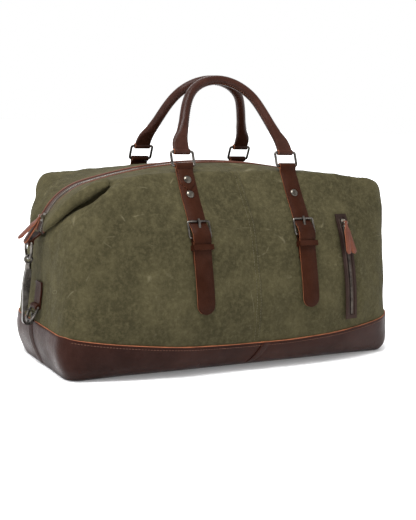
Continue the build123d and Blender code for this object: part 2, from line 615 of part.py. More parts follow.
for side_name, side_x in (("left", -1), ("right", 1)):
    # the leather tab sewn to the zip's end, wrapped round the bar of the end ring
    tab_line = [(side_x * (HARD_X - LOOP_OUT + 1.2), HARD_Z + 0.5), (side_x * (HARD_X - 4.6), HARD_Z + 6),
                (side_x * 294.5, 199), (side_x * 289.5, 206.0), (side_x * 288.6, 209.5)]
    with BuildPart() as end_tab:
        with BuildSketch(Plane.XZ.offset(-12)):
            add(strip(tab_line, LEATHER))
            with Locations((side_x * HARD_X, HARD_Z)):
                Circle(LOOP_OUT)
                Circle(HARD_WIRE + RUN, mode=Mode.SUBTRACT)
        extrude(amount=24)
        add(zip_band(-1.8, 5.0, 0, 12.5, -1).part, mode=Mode.SUBTRACT)
        add(zip_band(-1.8, 5.0, 0, 12.5, 1).part, mode=Mode.SUBTRACT)
    save(end_tab, f"zip_end_tab_{side_name}")

    with BuildPart() as end_ring:
        route = d_path(Plane(origin=(side_x * HARD_X, 0, HARD_Z), x_dir=(0, 1, 0), z_dir=(1, 0, 0)),
                       END_RING_HALF, END_RING_STRAIGHT)
        with BuildSketch(Plane(origin=route @ 0, z_dir=route % 0)):
            Circle(HARD_WIRE)
        sweep(path=route)
    save(end_ring, f"end_ring_{side_name}")

    with BuildPart() as swivel:
        eye_plane = Plane(origin=(side_x * HARD_X, 0, EYE_Z), x_dir=(1, 0, 0), z_dir=(0, -1, 0))
        with BuildLine(eye_plane) as eye_path:
            CenterArc((0, 0), EYE_R, 0, 360)
        with BuildSketch(Plane(origin=eye_path.line @ 0, z_dir=eye_path.line % 0)):
            Circle(EYE_WIRE)
        sweep(path=eye_path.line)
        with BuildSketch(Plane.XY.offset(COLLAR_LOW)):
            with Locations((side_x * HARD_X, 0)):
                Circle(COLLAR_R)
        extrude(amount=COLLAR_TOP - COLLAR_LOW)
        with BuildSketch(Plane.XY.offset(COLLAR_LOW)):
            with Locations((side_x * HARD_X, 0)):
                Circle(STEM_R + RUN)
        extrude(amount=6.5, mode=Mode.SUBTRACT)
    save(swivel, f"hook_swivel_{side_name}")

    shank_x = side_x * (HARD_X + HOOK_R)
    nose_x = side_x * (HARD_X - HOOK_R)
    with BuildPart() as snap_hook:
        with Locations((side_x * HARD_X, 0, (SHANK_TOP + COLLAR_LOW + 6.0) / 2)):
            Cylinder(STEM_R, COLLAR_LOW + 6.0 - SHANK_TOP)
        with BuildSketch(Plane.XZ.offset(-3.2)):
            with BuildLine():
                Polyline((side_x * (HARD_X - 4.2), SHANK_TOP), (side_x * (HARD_X + 4.2), SHANK_TOP),
                         (shank_x + side_x * 1.6, SHANK_TOP - 22), (shank_x + side_x * 1.6, GATE_Z - 2),
                         (shank_x - side_x * 5.0, GATE_Z - 1), (shank_x - side_x * 6.5, GATE_Z + 9),
                         (side_x * (HARD_X - 3.4), SHANK_TOP - 14), close=True)
            make_face()
        extrude(amount=6.4)
        with BuildSketch(Plane.XZ.offset(-3.2)):
            with BuildLine():
                ThreePointArc((shank_x + side_x * HOOK_HALF, HOOK_CENTRE_Z),
                              (side_x * HARD_X, HOOK_CENTRE_Z - HOOK_R - HOOK_HALF),
                              (nose_x - side_x * HOOK_HALF, HOOK_CENTRE_Z))
                Line((nose_x - side_x * HOOK_HALF, HOOK_CENTRE_Z), (nose_x - side_x * HOOK_HALF, GATE_Z - 5.5))
                Line((nose_x - side_x * HOOK_HALF, GATE_Z - 5.5), (nose_x + side_x * HOOK_HALF, GATE_Z - 4.0))
                Line((nose_x + side_x * HOOK_HALF, GATE_Z - 4.0), (nose_x + side_x * HOOK_HALF, HOOK_CENTRE_Z))
                ThreePointArc((nose_x + side_x * HOOK_HALF, HOOK_CENTRE_Z),
                              (side_x * HARD_X, HOOK_CENTRE_Z - HOOK_R + HOOK_HALF),
                              (shank_x - side_x * HOOK_HALF, HOOK_CENTRE_Z))
                Line((shank_x - side_x * HOOK_HALF, HOOK_CENTRE_Z), (shank_x - side_x * HOOK_HALF, GATE_Z - 1.9))
                Line((shank_x - side_x * HOOK_HALF, GATE_Z - 1.9), (shank_x + side_x * 1.6, GATE_Z - 1.9))
                Line((shank_x + side_x * 1.6, GATE_Z - 1.9), (shank_x + side_x * HOOK_HALF, HOOK_CENTRE_Z))
            make_face()
        extrude(amount=6.4)
        with Locations(Plane(origin=(shank_x - side_x * 2.9, 0, GATE_Z + 2.2), z_dir=(0, 1, 0))):
            Cylinder(2.4 + GAP, 3.8, mode=Mode.SUBTRACT)
            Cylinder(0.9, 6.4)
        with Locations((side_x * (HARD_X - 1.5), 0, GATE_Z)):
            Box(17, 3.8, 18, mode=Mode.SUBTRACT)
        with Locations(Plane(origin=(shank_x - side_x * 2.9, 0, GATE_Z + 2.2), z_dir=(0, 1, 0))):
            Cylinder(0.9, 6.4)
    save(snap_hook, f"snap_hook_{side_name}")

    pivot_x, pivot_z = shank_x - side_x * 2.9, GATE_Z + 2.2
    with BuildPart() as gate:
        with BuildSketch(Plane.XZ.offset(-1.6)):
            with Locations((pivot_x, pivot_z)):
                Circle(2.4)
            with BuildLine():
                Polyline((pivot_x, pivot_z + 1.6), (nose_x - side_x * 1.2, GATE_Z - 2.0),
                         (nose_x - side_x * 1.2, GATE_Z - 3.6), (pivot_x - side_x * 2, pivot_z - 2.0),
                         close=True)
            make_face()
            with Locations((pivot_x, pivot_z)):
                Circle(0.9 + RUN, mode=Mode.SUBTRACT)
        extrude(amount=3.2)
    save(gate, f"hook_gate_{side_name}")

    drop = asin((HARD_X - ANCHOR_X) / (END_RING_STRAIGHT + END_RING_HALF))
    down = Vector(side_x * sin(drop), 0, -cos(drop))
    with BuildPart() as anchor_ring:
        route = d_path(Plane(origin=(side_x * ANCHOR_X, 0, ANCHOR_Z), x_dir=(0, 1, 0),
                             z_dir=Vector(0, 1, 0).cross(down * -1)), END_RING_HALF, END_RING_STRAIGHT)
        with BuildSketch(Plane(origin=route @ 0, z_dir=route % 0)):
            Circle(HARD_WIRE)
        sweep(path=route)
    save(anchor_ring, f"anchor_ring_{side_name}")

    anchor_line = [(side_x * (ANCHOR_X - LOOP_OUT + 1.6), ANCHOR_Z + 0.5), (side_x * 290.9, ANCHOR_Z + 10),
                   (side_x * 289.6, 112), (side_x * 289.0, 128)]
    with BuildPart() as anchor_tab:
        with BuildSketch(Plane.XZ.offset(-12)):
            add(strip(anchor_line, LEATHER))
            with Locations((side_x * ANCHOR_X, ANCHOR_Z)):
                Circle(LOOP_OUT)
                Circle(HARD_WIRE + RUN, mode=Mode.SUBTRACT)
        extrude(amount=24)
    save(anchor_tab, f"anchor_tab_{side_name}")

# --- front pocket -------------------------------------------------------------------------------------
POCKET_LINE = Spline(*half_section(POCKET_X, 0))


def pocket_u(z):
    """How far the canvas stands out at the pocket zip, at a height."""
    low, high = 0.0, 1.0
    for _ in range(40):
        middle = (low + high) / 2
        if POCKET_LINE.position_at(middle).Y < z:
            low = middle
        else:
            high = middle
    return POCKET_LINE.position_at(low).X


POCKET_STAND = 4.2            # centre of the zip's line, outside the canvas
pocket_mid_z = (POCKET_TOP_Z + POCKET_LOW_Z) / 2
origin_u = pocket_u(pocket_mid_z) + POCKET_STAND
# one arc through the zip's two ends and its middle; distances run outwards from the middle point
top_drop = origin_u - (pocket_u(POCKET_TOP_Z) + POCKET_STAND)
low_drop = origin_u - (pocket_u(POCKET_LOW_Z) + POCKET_STAND)
half_height = (POCKET_TOP_Z - POCKET_LOW_Z) / 2
slope = (top_drop - low_drop) / (2 * half_height)
sagitta = (top_drop + low_drop) / 2 * cos(slope)
chord = half_height / cos(slope)
POCKET_ARC = (chord * chord + sagitta * sagitta) / (2 * sagitta)
turn = radians(POCKET_TURN)
# plane of the arc: x outwards from the bag, y up
pocket_out = Vector(sin(turn), -cos(turn), 0)
pocket_axis = Vector(cos(turn), sin(turn), 0)
arc_centre_out = -POCKET_ARC * cos(atan2(top_drop - low_drop, 2 * half_height))
arc_centre_up = -POCKET_ARC * sin(atan2(top_drop - low_drop, 2 * half_height))
POCKET_CENTRE = (Vector(POCKET_X, -origin_u, pocket_mid_z) + pocket_out * arc_centre_out
                 + Vector(0, 0, arc_centre_up))
TOP_ANGLE = degrees(asin((POCKET_TOP_Z - POCKET_CENTRE.Z) / POCKET_ARC))
LOW_ANGLE = degrees(asin((POCKET_LOW_Z - POCKET_CENTRE.Z) / POCKET_ARC))
POCKET_PLANE = Plane(origin=POCKET_CENTRE, x_dir=pocket_out, z_dir=pocket_axis * -1)


def pocket_angle(x, y):
    """Point on the pocket arc's plane from a radius and an angle above the horizontal."""
    return x * cos(radians(y)), x * sin(radians(y))


def pocket_band(inner, outer, low, high, near, far):
    """Strip along the pocket zip between two radii, two angles and two distances along its axis."""
    sign = -1 if POCKET_PLANE.y_dir.Z < 0 else 1
    corners = []
    for reach in (inner, outer):
        for angle in (low, (low + high) / 2, high):
            a, b = pocket_angle(POCKET_ARC + reach, angle)
            corners.append((a, sign * b))
    with BuildPart() as band:
        with BuildSketch(POCKET_PLANE.offset(-far)):
            with BuildLine():
                ThreePointArc(corners[0], corners[1], corners[2])
                Line(corners[2], corners[5])
                ThreePointArc(corners[5], corners[4], corners[3])
                Line(corners[3], corners[0])
            make_face()
        extrude(amount=far - near)
    return band


MARGIN_ANGLE = degrees(4.0 / POCKET_ARC)
save(pocket_band(-0.6, 0.2, LOW_ANGLE, TOP_ANGLE, -9, 9), "pocket_zip_tape")
save(pocket_band(0.3, 2.0, LOW_ANGLE + MARGIN_ANGLE, TOP_ANGLE - MARGIN_ANGLE, -2.2, 2.2),
     "pocket_zip_teeth")
outer_trim = pocket_band(0.3, 1.5, LOW_ANGLE - MARGIN_ANGLE, TOP_ANGLE + MARGIN_ANGLE, -12, 12)
inner_trim = pocket_band(0.0, 2.0, LOW_ANGLE + MARGIN_ANGLE / 2, TOP_ANGLE - MARGIN_ANGLE / 2, -7, 7)
with BuildPart() as pocket_trim:
    add(outer_trim.part)
    add(inner_trim.part, mode=Mode.SUBTRACT)
save(pocket_trim, "pocket_zip_trim")

POCKET_SLIDER_ANGLE = TOP_ANGLE - degrees(12.0 / POCKET_ARC)


def pocket_spot(reach, angle):
    """Point in space on the pocket arc."""
    out, up = pocket_angle(POCKET_ARC + reach, angle)
    return POCKET_CENTRE + pocket_out * out + Vector(0, 0, up)


def pocket_square(reach, angle):
    """Plane square to the pocket zip: x along its axis, y outwards, z up along the zip."""
    across = pocket_spot(1, angle) - pocket_spot(0, angle)
    return Plane(origin=pocket_spot(reach, angle), x_dir=pocket_axis, z_dir=pocket_axis.cross(across))


BAIL_REACH = 7.4
with BuildPart() as pocket_zip_slider:
    square = pocket_square(3.4, POCKET_SLIDER_ANGLE)
    with BuildSketch(square.offset(-6)):
        Rectangle(9, 1.8)
    extrude(amount=12)
    ear_plane = pocket_square(BAIL_REACH, POCKET_SLIDER_ANGLE)
    for ear in (-3.9, 3.9):
        with BuildSketch(Plane(origin=ear_plane.from_local_coords(Vector(ear, 0, 0)),
                               x_dir=ear_plane.y_dir, z_dir=ear_plane.x_dir).offset(-0.6)):
            Circle(2.0)
            with Locations((-1.8, 0)):
                Rectangle(3.6, 4.0)
        extrude(amount=1.2)
    with Locations(Plane(origin=ear_plane.origin, z_dir=ear_plane.x_dir)):
        Cylinder(PULL_PIN, 8.6)
save(pocket_zip_slider, "pocket_zip_slider")

POCKET_PULLER_LENGTH = 52.0
PULLER_SLOPE = 0.37          # the puller lies along the bulging front
with BuildPart() as pocket_zip_puller:
    hang = Plane(origin=ear_plane.origin, x_dir=pocket_axis,
                 z_dir=pocket_axis.cross(Vector(0, 0, 1) - pocket_out * PULLER_SLOPE))
    add(hang.location * puller(PULL_PIN, 17, POCKET_PULLER_LENGTH, 5.4))
save(pocket_zip_puller, "pocket_zip_puller")

with BuildPart() as pocket_bag:
    with Locations((140, -96, 150)):
        Box(150, 5, 150)
    with Locations((140, -96, 152)):
        Box(147, 3, 150, mode=Mode.SUBTRACT)
save(pocket_bag, "pocket_bag")

print("pocket arc", round(POCKET_ARC, 2), "centre", [round(v, 3) for v in POCKET_CENTRE],
      "angles", round(LOW_ANGLE, 2), round(POCKET_SLIDER_ANGLE, 2), round(TOP_ANGLE, 2))
print("pocket bail", [round(v, 3) for v in ear_plane.origin], "axis", [round(v, 5) for v in pocket_axis])
print("main bail", round(BAIL_X, 3), round(BAIL_Z, 3))
print("buckle hinge", round(hinge_u, 3), round(hinge_z, 3))
print("upper bar", round(UPPER_U, 3), round(UPPER_Z, 3))
print("bow", BOW_Z, "gate", round(pivot_x, 3), round(pivot_z, 3), "hook centre", HOOK_CENTRE_Z)
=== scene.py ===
import json
from math import cos, pi, radians, sin, sqrt

import bpy
import numpy as np
from mathutils import Matrix, Vector


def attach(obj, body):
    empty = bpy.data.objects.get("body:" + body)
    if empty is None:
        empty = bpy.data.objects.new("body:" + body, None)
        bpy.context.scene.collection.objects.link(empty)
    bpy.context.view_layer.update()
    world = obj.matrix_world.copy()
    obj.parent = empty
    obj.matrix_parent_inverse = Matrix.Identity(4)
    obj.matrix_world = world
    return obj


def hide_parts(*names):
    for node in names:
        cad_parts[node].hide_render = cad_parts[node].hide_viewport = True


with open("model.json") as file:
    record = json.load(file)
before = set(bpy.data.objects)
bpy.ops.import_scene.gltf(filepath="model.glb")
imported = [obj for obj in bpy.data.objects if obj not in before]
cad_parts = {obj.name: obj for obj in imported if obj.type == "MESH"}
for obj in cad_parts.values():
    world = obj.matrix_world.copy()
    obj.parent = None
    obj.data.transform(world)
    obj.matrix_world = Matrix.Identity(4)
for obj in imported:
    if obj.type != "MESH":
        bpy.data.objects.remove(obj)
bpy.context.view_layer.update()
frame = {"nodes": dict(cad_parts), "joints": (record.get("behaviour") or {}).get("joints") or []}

MM = 0.001
scene = bpy.context.scene
NODES = frame["nodes"]
JOINT_AT = {joint["name"]: np.array(joint["pos_m"]) / MM for joint in frame["joints"]}
JOINT_AXIS = {joint["name"]: np.array(joint["axis"], float) for joint in frame["joints"]}


# --- small tools ---
def run_along(points):
    """Distance run along a polyline at each of its points."""
    return np.concatenate([[0.0], np.cumsum(np.linalg.norm(np.diff(points, axis=0), axis=1))])


def round_angles(count):
    """Evenly spread angles of a full turn."""
    return [2 * pi * k / count for k in range(count)]


def smooth_line(points, count):
    """Points of a natural cubic spline through the given points, evenly spread."""
    pts = np.array(points, float)
    t = run_along(pts)
    n, h = len(t), np.diff(t)
    left, right = np.zeros((n, n)), np.zeros((n, pts.shape[1]))
    left[0, 0] = left[-1, -1] = 1.0
    for i in range(1, n - 1):
        left[i, i - 1:i + 2] = h[i - 1], 2 * (h[i - 1] + h[i]), h[i]
        right[i] = 6 * ((pts[i + 1] - pts[i]) / h[i] - (pts[i] - pts[i - 1]) / h[i - 1])
    second = np.linalg.solve(left, right)
    q = np.linspace(0.0, t[-1], count)
    i = np.clip(np.searchsorted(t, q) - 1, 0, n - 2)
    a, b, step = (t[i + 1] - q) / h[i], (q - t[i]) / h[i], h[i] ** 2 / 6
    return (a[:, None] * pts[i] + b[:, None] * pts[i + 1]
            + ((a ** 3 - a) * step)[:, None] * second[i] + ((b ** 3 - b) * step)[:, None] * second[i + 1])


def ease(value, low, high):
    """0 below low, 1 above high, smooth between them."""
    t = np.clip((np.asarray(value, float) - low) / (high - low), 0.0, 1.0)
    return t * t * (3 - 2 * t)


def soft_max(a, b, k):
    """The larger of two fields, rounded over a band k."""
    h = np.clip(k - np.abs(a - b), 0.0, None) / k
    return np.maximum(a, b) + h * h * k / 4


def unit(v):
    v = np.asarray(v, float)
    return v / np.maximum(np.linalg.norm(v, axis=-1, keepdims=True), 1e-9)


def mesh_piece(name, verts, faces, materials, body, indices=None, uvs=None, smooth=True, solid=0.0):
    """A mesh object in millimetres of the row frame, riding on a body."""
    mesh = bpy.data.meshes.new(name)
    mesh.from_pydata([tuple(v) for v in np.asarray(verts, float) * MM], [], [tuple(f) for f in faces])
    for m in materials:
        mesh.materials.append(m)
    if indices is not None:
        mesh.polygons.foreach_set("material_index", np.asarray(indices, np.int32))
    if smooth:
        mesh.polygons.foreach_set("use_smooth", np.ones(len(mesh.polygons), bool))
    if uvs is not None:
        layer = mesh.uv_layers.new(name="cloth")
        loops = np.zeros(len(mesh.loops), np.int32)
        mesh.loops.foreach_get("vertex_index", loops)
        layer.data.foreach_set("uv", (np.asarray(uvs, float)[loops] * MM).astype(np.float32).ravel())
    mesh.update()
    piece = bpy.data.objects.new(name, mesh)
    scene.collection.objects.link(piece)
    if solid:
        shell = piece.modifiers.new("thickness", "SOLIDIFY")
        shell.thickness = solid * MM
        shell.offset = -1.0
    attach(piece, body)
    return piece


def grid_faces(rows, columns, closed, start=0):
    """Quads of a grid of rows x columns, the columns closed in a ring or not."""
    faces = []
    for r in range(rows - 1):
        for c in range(columns if closed else columns - 1):
            d = (c + 1) % columns
            faces.append((start + r * columns + c, start + r * columns + d,
                          start + (r + 1) * columns + d, start + (r + 1) * columns + c))
    return faces


class Builder:
    """Collects vertices and faces of several parts of one piece."""

    def __init__(self):
        self.verts, self.faces, self.indices = [], [], []

    def add(self, verts, faces, index=0):
        start = len(self.verts)
        self.verts.extend(np.asarray(verts, float).tolist())
        self.faces.extend(tuple(start + i for i in f) for f in faces)
        self.indices.extend([index] * len(faces) if np.isscalar(index) else list(index))

    def tube(self, centres, ups, sides, profiles, index=0, caps=True, edge_index=None, edge_columns=()):
        """Loft of closed profiles (side, up) along centres. Faces in edge_columns take edge_index."""
        count = len(profiles[0])
        rings = []
        for c, u, s, profile in zip(centres, ups, sides, profiles):
            rings.append(c + profile[:, :1] * s + profile[:, 1:] * u)
        verts = np.concatenate(rings)
        faces = grid_faces(len(rings), count, True)
        marks = [edge_index if edge_index is not None and (i % count) in edge_columns else index
                 for i in range(len(faces))]
        if caps:
            last = (len(rings) - 1) * count
            faces.append(tuple(reversed(range(count))))
            faces.append(tuple(range(last, last + count)))
            cap = index if edge_index is None else edge_index
            marks += [cap, cap]
        self.add(verts, faces, marks)

    def piece(self, name, materials, body, smooth=True):
        return mesh_piece(name, self.verts, self.faces, materials, body, self.indices, smooth=smooth)


# --- finishes ---
class Finish:
    """A procedural material, built up node by node."""

    def __init__(self, name, roughness, metallic=0.0, specular=0.5):
        self.mat = bpy.data.materials.new(name)
        self.mat.use_nodes = True
        self.nodes, self.links = self.mat.node_tree.nodes, self.mat.node_tree.links
        self.shader = self.nodes["Principled BSDF"]
        self.shader.inputs["Roughness"].default_value = roughness
        self.shader.inputs["Metallic"].default_value = metallic
        self.shader.inputs["Specular IOR Level"].default_value = specular
        self.place = self.nodes.new("ShaderNodeTexCoord").outputs["Object"]

    def node(self, kind, inputs, **settings):
        made = self.nodes.new(kind)
        for key, value in settings.items():
            setattr(made, key, value)
        for key, value in inputs.items():
            if isinstance(value, bpy.types.NodeSocket):
                self.links.new(value, made.inputs[key])
            else:
                made.inputs[key].default_value = value
        return made

    def noise(self, scale, detail=4.0, rough=0.55, distortion=0.0, place=None):
        inputs = {"Vector": place or self.place, "Scale": scale, "Detail": detail,
                  "Roughness": rough, "Distortion": distortion}
        return self.node("ShaderNodeTexNoise", inputs).outputs["Fac"]

    def stretched(self, x, y, z, place=None):
        inputs = {"Vector": place or self.place, "Scale": (x, y, z)}
        return self.node("ShaderNodeMapping", inputs).outputs[0]

    def cells(self, scale, feature="F1", randomness=1.0, place=None):
        inputs = {"Vector": place or self.place, "Scale": scale, "Randomness": randomness}
        return self.node("ShaderNodeTexVoronoi", inputs, feature=feature).outputs["Distance"]

    def waves(self, scale, direction, distortion=0.0, place=None):
        inputs = {"Vector": place or self.place, "Scale": scale, "Distortion": distortion,
                  "Detail": 2.0, "Detail Scale": 1.5}
        return self.node("ShaderNodeTexWave", inputs, bands_direction=direction).outputs["Fac"]

    def ramp(self, value, low, high, out_low=0.0, out_high=1.0):
        inputs = {"Value": value, "From Min": low, "From Max": high, "To Min": out_low, "To Max": out_high}
        return self.node("ShaderNodeMapRange", inputs).outputs[0]

    def math(self, kind, a, b):
        made = self.nodes.new("ShaderNodeMath")
        made.operation = kind
        for socket, value in zip(made.inputs, (a, b)):
            if isinstance(value, bpy.types.NodeSocket):
                self.links.new(value, socket)
            else:
                socket.default_value = value
        return made.outputs[0]

    def mix(self, amount, a, b, blend="MIX"):
        made = self.nodes.new("ShaderNodeMix")
        made.data_type, made.blend_type = "RGBA", blend
        for socket, value in ((made.inputs[0], amount), (made.inputs[6], a), (made.inputs[7], b)):
            if isinstance(value, bpy.types.NodeSocket):
                self.links.new(value, socket)
            else:
                socket.default_value = value if np.isscalar(value) else (*value, 1.0)
        return made.outputs[2]

    def bump(self, height, strength, distance, under=None):
        inputs = {"Height": height, "Strength": strength, "Distance": distance}
        if under is not None:
            inputs["Normal"] = under
        return self.node("ShaderNodeBump", inputs).outputs[0]

    def done(self, colour=None, normal=None, roughness=None):
        for key, value in (("Base Color", colour), ("Normal", normal), ("Roughness", roughness)):
            if isinstance(value, bpy.types.NodeSocket):
                self.links.new(value, self.shader.inputs[key])
            elif value is not None:
                self.shader.inputs[key].default_value = (*value, 1.0)
        return self.mat


def canvas_finish():
    f = Finish("waxed canvas", 0.80, specular=0.04)
    f.shader.inputs["Sheen Weight"].default_value = 0.03
    f.shader.inputs["Sheen Roughness"].default_value = 0.5
    f.shader.inputs["Sheen Tint"].default_value = (0.75, 0.72, 0.50, 1.0)
    cloth = f.node("ShaderNodeUVMap", {}, uv_map="cloth").outputs[0]
    wide, middle = f.noise(6.0, 3.0), f.noise(24.0, 5.0, 0.6)
    fine = f.noise(420.0, 3.0, 0.7)
    colour = f.mix(f.ramp(wide, 0.32, 0.70), CANVAS_DARK, CANVAS_MID)
    colour = f.mix(f.ramp(middle, 0.46, 0.74, 0.0, 0.45), colour, CANVAS_LIGHT)
    colour = f.mix(f.ramp(f.noise(170.0, 4.0, 0.75), 0.44, 0.72, 0.0, 0.65), colour, CANVAS_LIGHT)
    colour = f.mix(f.ramp(f.noise(120.0, 4.0, 0.7, 0.4), 0.52, 0.74, 0.0, 0.7), colour, CANVAS_DARK)
    colour = f.mix(f.ramp(f.noise(75.0, 5.0, 0.7), 0.50, 0.78, 0.0, 0.40), colour, CANVAS_LIGHT)
    colour = f.mix(f.ramp(f.noise(33.0, 4.0, 0.65, 0.3), 0.55, 0.78, 0.0, 0.45), colour, CANVAS_DARK)
    streaks = f.noise(46.0, 4.0, 0.6, 0.4, f.stretched(1.0, 1.0, 0.22))
    colour = f.mix(f.ramp(streaks, 0.55, 0.80, 0.0, 0.30), colour, CANVAS_LIGHT)
    # pale lines where the wax has cracked along old folds
    contour = f.math("ABSOLUTE", f.math("SUBTRACT", f.noise(5.5, 2.5, 0.5, 0.3), 0.5), 0.0)
    crack = f.ramp(contour, 0.0, 0.006, 1.0, 0.0)
    crack = f.math("MULTIPLY", crack, f.ramp(f.noise(38.0, 2.0), 0.56, 0.66))
    second = f.noise(11.0, 2.0, 0.5, 0.5, f.stretched(0.6, 1.0, 1.4))
    second = f.math("ABSOLUTE", f.math("SUBTRACT", second, 0.5), 0.0)
    second = f.ramp(second, 0.0, 0.008, 0.8, 0.0)
    second = f.math("MULTIPLY", second, f.ramp(f.noise(44.0, 2.0), 0.58, 0.68))
    crack = f.math("MAXIMUM", crack, second)
    colour = f.mix(f.math("MULTIPLY", crack, 0.34), colour, CANVAS_CRACK)
    colour = f.mix(f.ramp(fine, 0.35, 0.70, 0.0, 0.25), colour, CANVAS_DARK)
    warp, weft = f.waves(330.0, "X", 0.4, cloth), f.waves(330.0, "Y", 0.4, cloth)
    weave = f.math("MULTIPLY", warp, weft)
    colour = f.mix(f.math("MULTIPLY", weave, 0.14), colour, CANVAS_CRACK)
    normal = f.bump(weave, 0.30, 0.0004)
    normal = f.bump(f.noise(60.0, 5.0, 0.6), 0.30, 0.0022, normal)
    normal = f.bump(f.noise(15.0, 4.0, 0.55, 0.6), 0.45, 0.009, normal)
    normal = f.bump(crack, 0.25, 0.0012, normal)
    return f.done(colour, normal, f.ramp(middle, 0.3, 0.75, 0.72, 0.88))


def leather_finish(name, dark, light, roughness, scuff=0.35, gloss=0.2, grain=0.5, uneven=0.3):
    f = Finish(name, roughness, specular=gloss)
    wide, middle = f.noise(7.0, 4.0, 0.55, 0.5), f.noise(38.0, 5.0, 0.6)
    colour = f.mix(f.ramp(wide, 0.30, 0.72), dark, light)
    scuffed = tuple(min(1.0, c * 1.9 + 0.012) for c in light)
    colour = f.mix(f.ramp(middle, 0.46, 0.80, 0.0, scuff), colour, scuffed)
    pits = f.cells(520.0)
    colour = f.mix(f.ramp(pits, 0.0, 0.5, 0.35, 0.0), colour, tuple(c * 0.45 for c in dark))
    normal = f.bump(pits, grain, 0.0004)
    normal = f.bump(f.noise(240.0, 3.0, 0.6), 0.22, 0.0006, normal)
    normal = f.bump(f.noise(18.0, 3.0, 0.5, 0.4), uneven, 0.004, normal)
    rough = f.ramp(f.noise(30.0, 4.0, 0.6), 0.3, 0.75, roughness - 0.07, roughness + 0.14)
    return f.done(colour, normal, rough)


def edge_finish():
    f = Finish("raw leather edge", 0.72, specular=0.25)
    fibres = f.noise(900.0, 3.0, 0.7)
    colour = f.mix(f.ramp(f.noise(60.0, 3.0), 0.3, 0.7), EDGE_DARK, EDGE_LIGHT)
    colour = f.mix(f.ramp(fibres, 0.4, 0.7, 0.0, 0.4), colour, tuple(c * 0.5 for c in EDGE_DARK))
    return f.done(colour, f.bump(fibres, 0.4, 0.0003))


def metal_finish(name, dark, light, roughness):
    f = Finish(name, roughness, metallic=1.0)
    wear = f.noise(90.0, 4.0, 0.6)
    colour = f.mix(f.ramp(wear, 0.35, 0.68), dark, light)
    fine = f.noise(700.0, 2.0, 0.6)
    rough = f.ramp(f.noise(150.0, 3.0, 0.6), 0.3, 0.7, roughness - 0.06, roughness + 0.12)
    return f.done(colour, f.bump(fine, 0.12, 0.0002), rough)


def cloth_finish(name, dark, light, threads):
    f = Finish(name, 0.85, specular=0.2)
    weave = f.math("MULTIPLY", f.waves(threads, "X"), f.waves(threads, "Z"))
    colour = f.mix(f.ramp(f.noise(40.0, 4.0), 0.3, 0.7), dark, light)
    colour = f.mix(f.math("MULTIPLY", weave, 0.4), colour, tuple(c * 1.6 for c in light))
    return f.done(colour, f.bump(weave, 0.5, 0.0004))


def board_finish():
    f = Finish("fibre board", 0.9, specular=0.2)
    fibres = f.noise(300.0, 4.0, 0.7, 0.0, f.stretched(1.0, 0.25, 1.0))
    return f.done(f.mix(f.ramp(fibres, 0.35, 0.7), (0.09, 0.075, 0.06), (0.17, 0.14, 0.11)),
                  f.bump(fibres, 0.3, 0.0004))


CANVAS_DARK, CANVAS_MID = (0.0175, 0.0150, 0.0063), (0.0345, 0.0298, 0.0138)
CANVAS_LIGHT, CANVAS_CRACK = (0.071, 0.0615, 0.0310), (0.17, 0.150, 0.092)
EDGE_DARK, EDGE_LIGHT = (0.13, 0.038, 0.014), (0.26, 0.085, 0.034)
CANVAS_MAT = canvas_finish()
BASE_MAT = leather_finish("base leather", (0.0110, 0.0036, 0.0023),
                          (0.023, 0.0074, 0.0047), 0.33, 0.20, 0.05)
STRAP_MAT = leather_finish("strap leather", (0.0125, 0.0036, 0.0016),
                           (0.027, 0.0082, 0.0039), 0.44, 0.20, 0.03)
HANDLE_MAT = leather_finish("handle leather", (0.0145, 0.0042, 0.0022),
                            (0.032, 0.0096, 0.0052), 0.38, 0.24, 0.10)
PULLER_MAT = leather_finish("puller leather", (0.058, 0.0155, 0.0075),
                            (0.115, 0.032, 0.015), 0.46, 0.30, 0.2)
PIPING_MAT = leather_finish("piping leather", (0.012, 0.006, 0.0045), (0.026, 0.013, 0.010), 0.42, 0.25)
TRIM_MAT = leather_finish("trim leather", (0.050, 0.0145, 0.008),
                          (0.098, 0.029, 0.015), 0.48, 0.30, 0.2)
FRAME_MAT = leather_finish("pocket trim leather", (0.010, 0.0050, 0.0036),
                           (0.022, 0.0105, 0.0075), 0.55, 0.25, 0.08)
EDGE_MAT = edge_finish()
METAL_MAT = metal_finish("gunmetal", (0.035, 0.031, 0.028), (0.14, 0.128, 0.115), 0.30)
RIVET_MAT = metal_finish("rivet metal", (0.040, 0.034, 0.028), (0.13, 0.118, 0.100), 0.26)
TEETH_MAT = metal_finish("zip metal", (0.12, 0.105, 0.085), (0.36, 0.33, 0.28), 0.28)
DARK_TEETH_MAT = metal_finish("pocket zip metal", (0.025, 0.020, 0.017), (0.085, 0.072, 0.06), 0.34)
TAPE_MAT = cloth_finish("zip tape", (0.020, 0.012, 0.010), (0.042, 0.026, 0.021), 300.0)
LINING_MAT = cloth_finish("lining cloth", (0.10, 0.085, 0.06), (0.16, 0.14, 0.10), 260.0)
THREAD_MAT = cloth_finish("sewing thread", (0.055, 0.022, 0.014), (0.10, 0.045, 0.028), 900.0)
OLIVE_THREAD_MAT = cloth_finish("canvas thread", (0.045, 0.038, 0.020), (0.075, 0.064, 0.036), 900.0)
BOARD_MAT = board_finish()

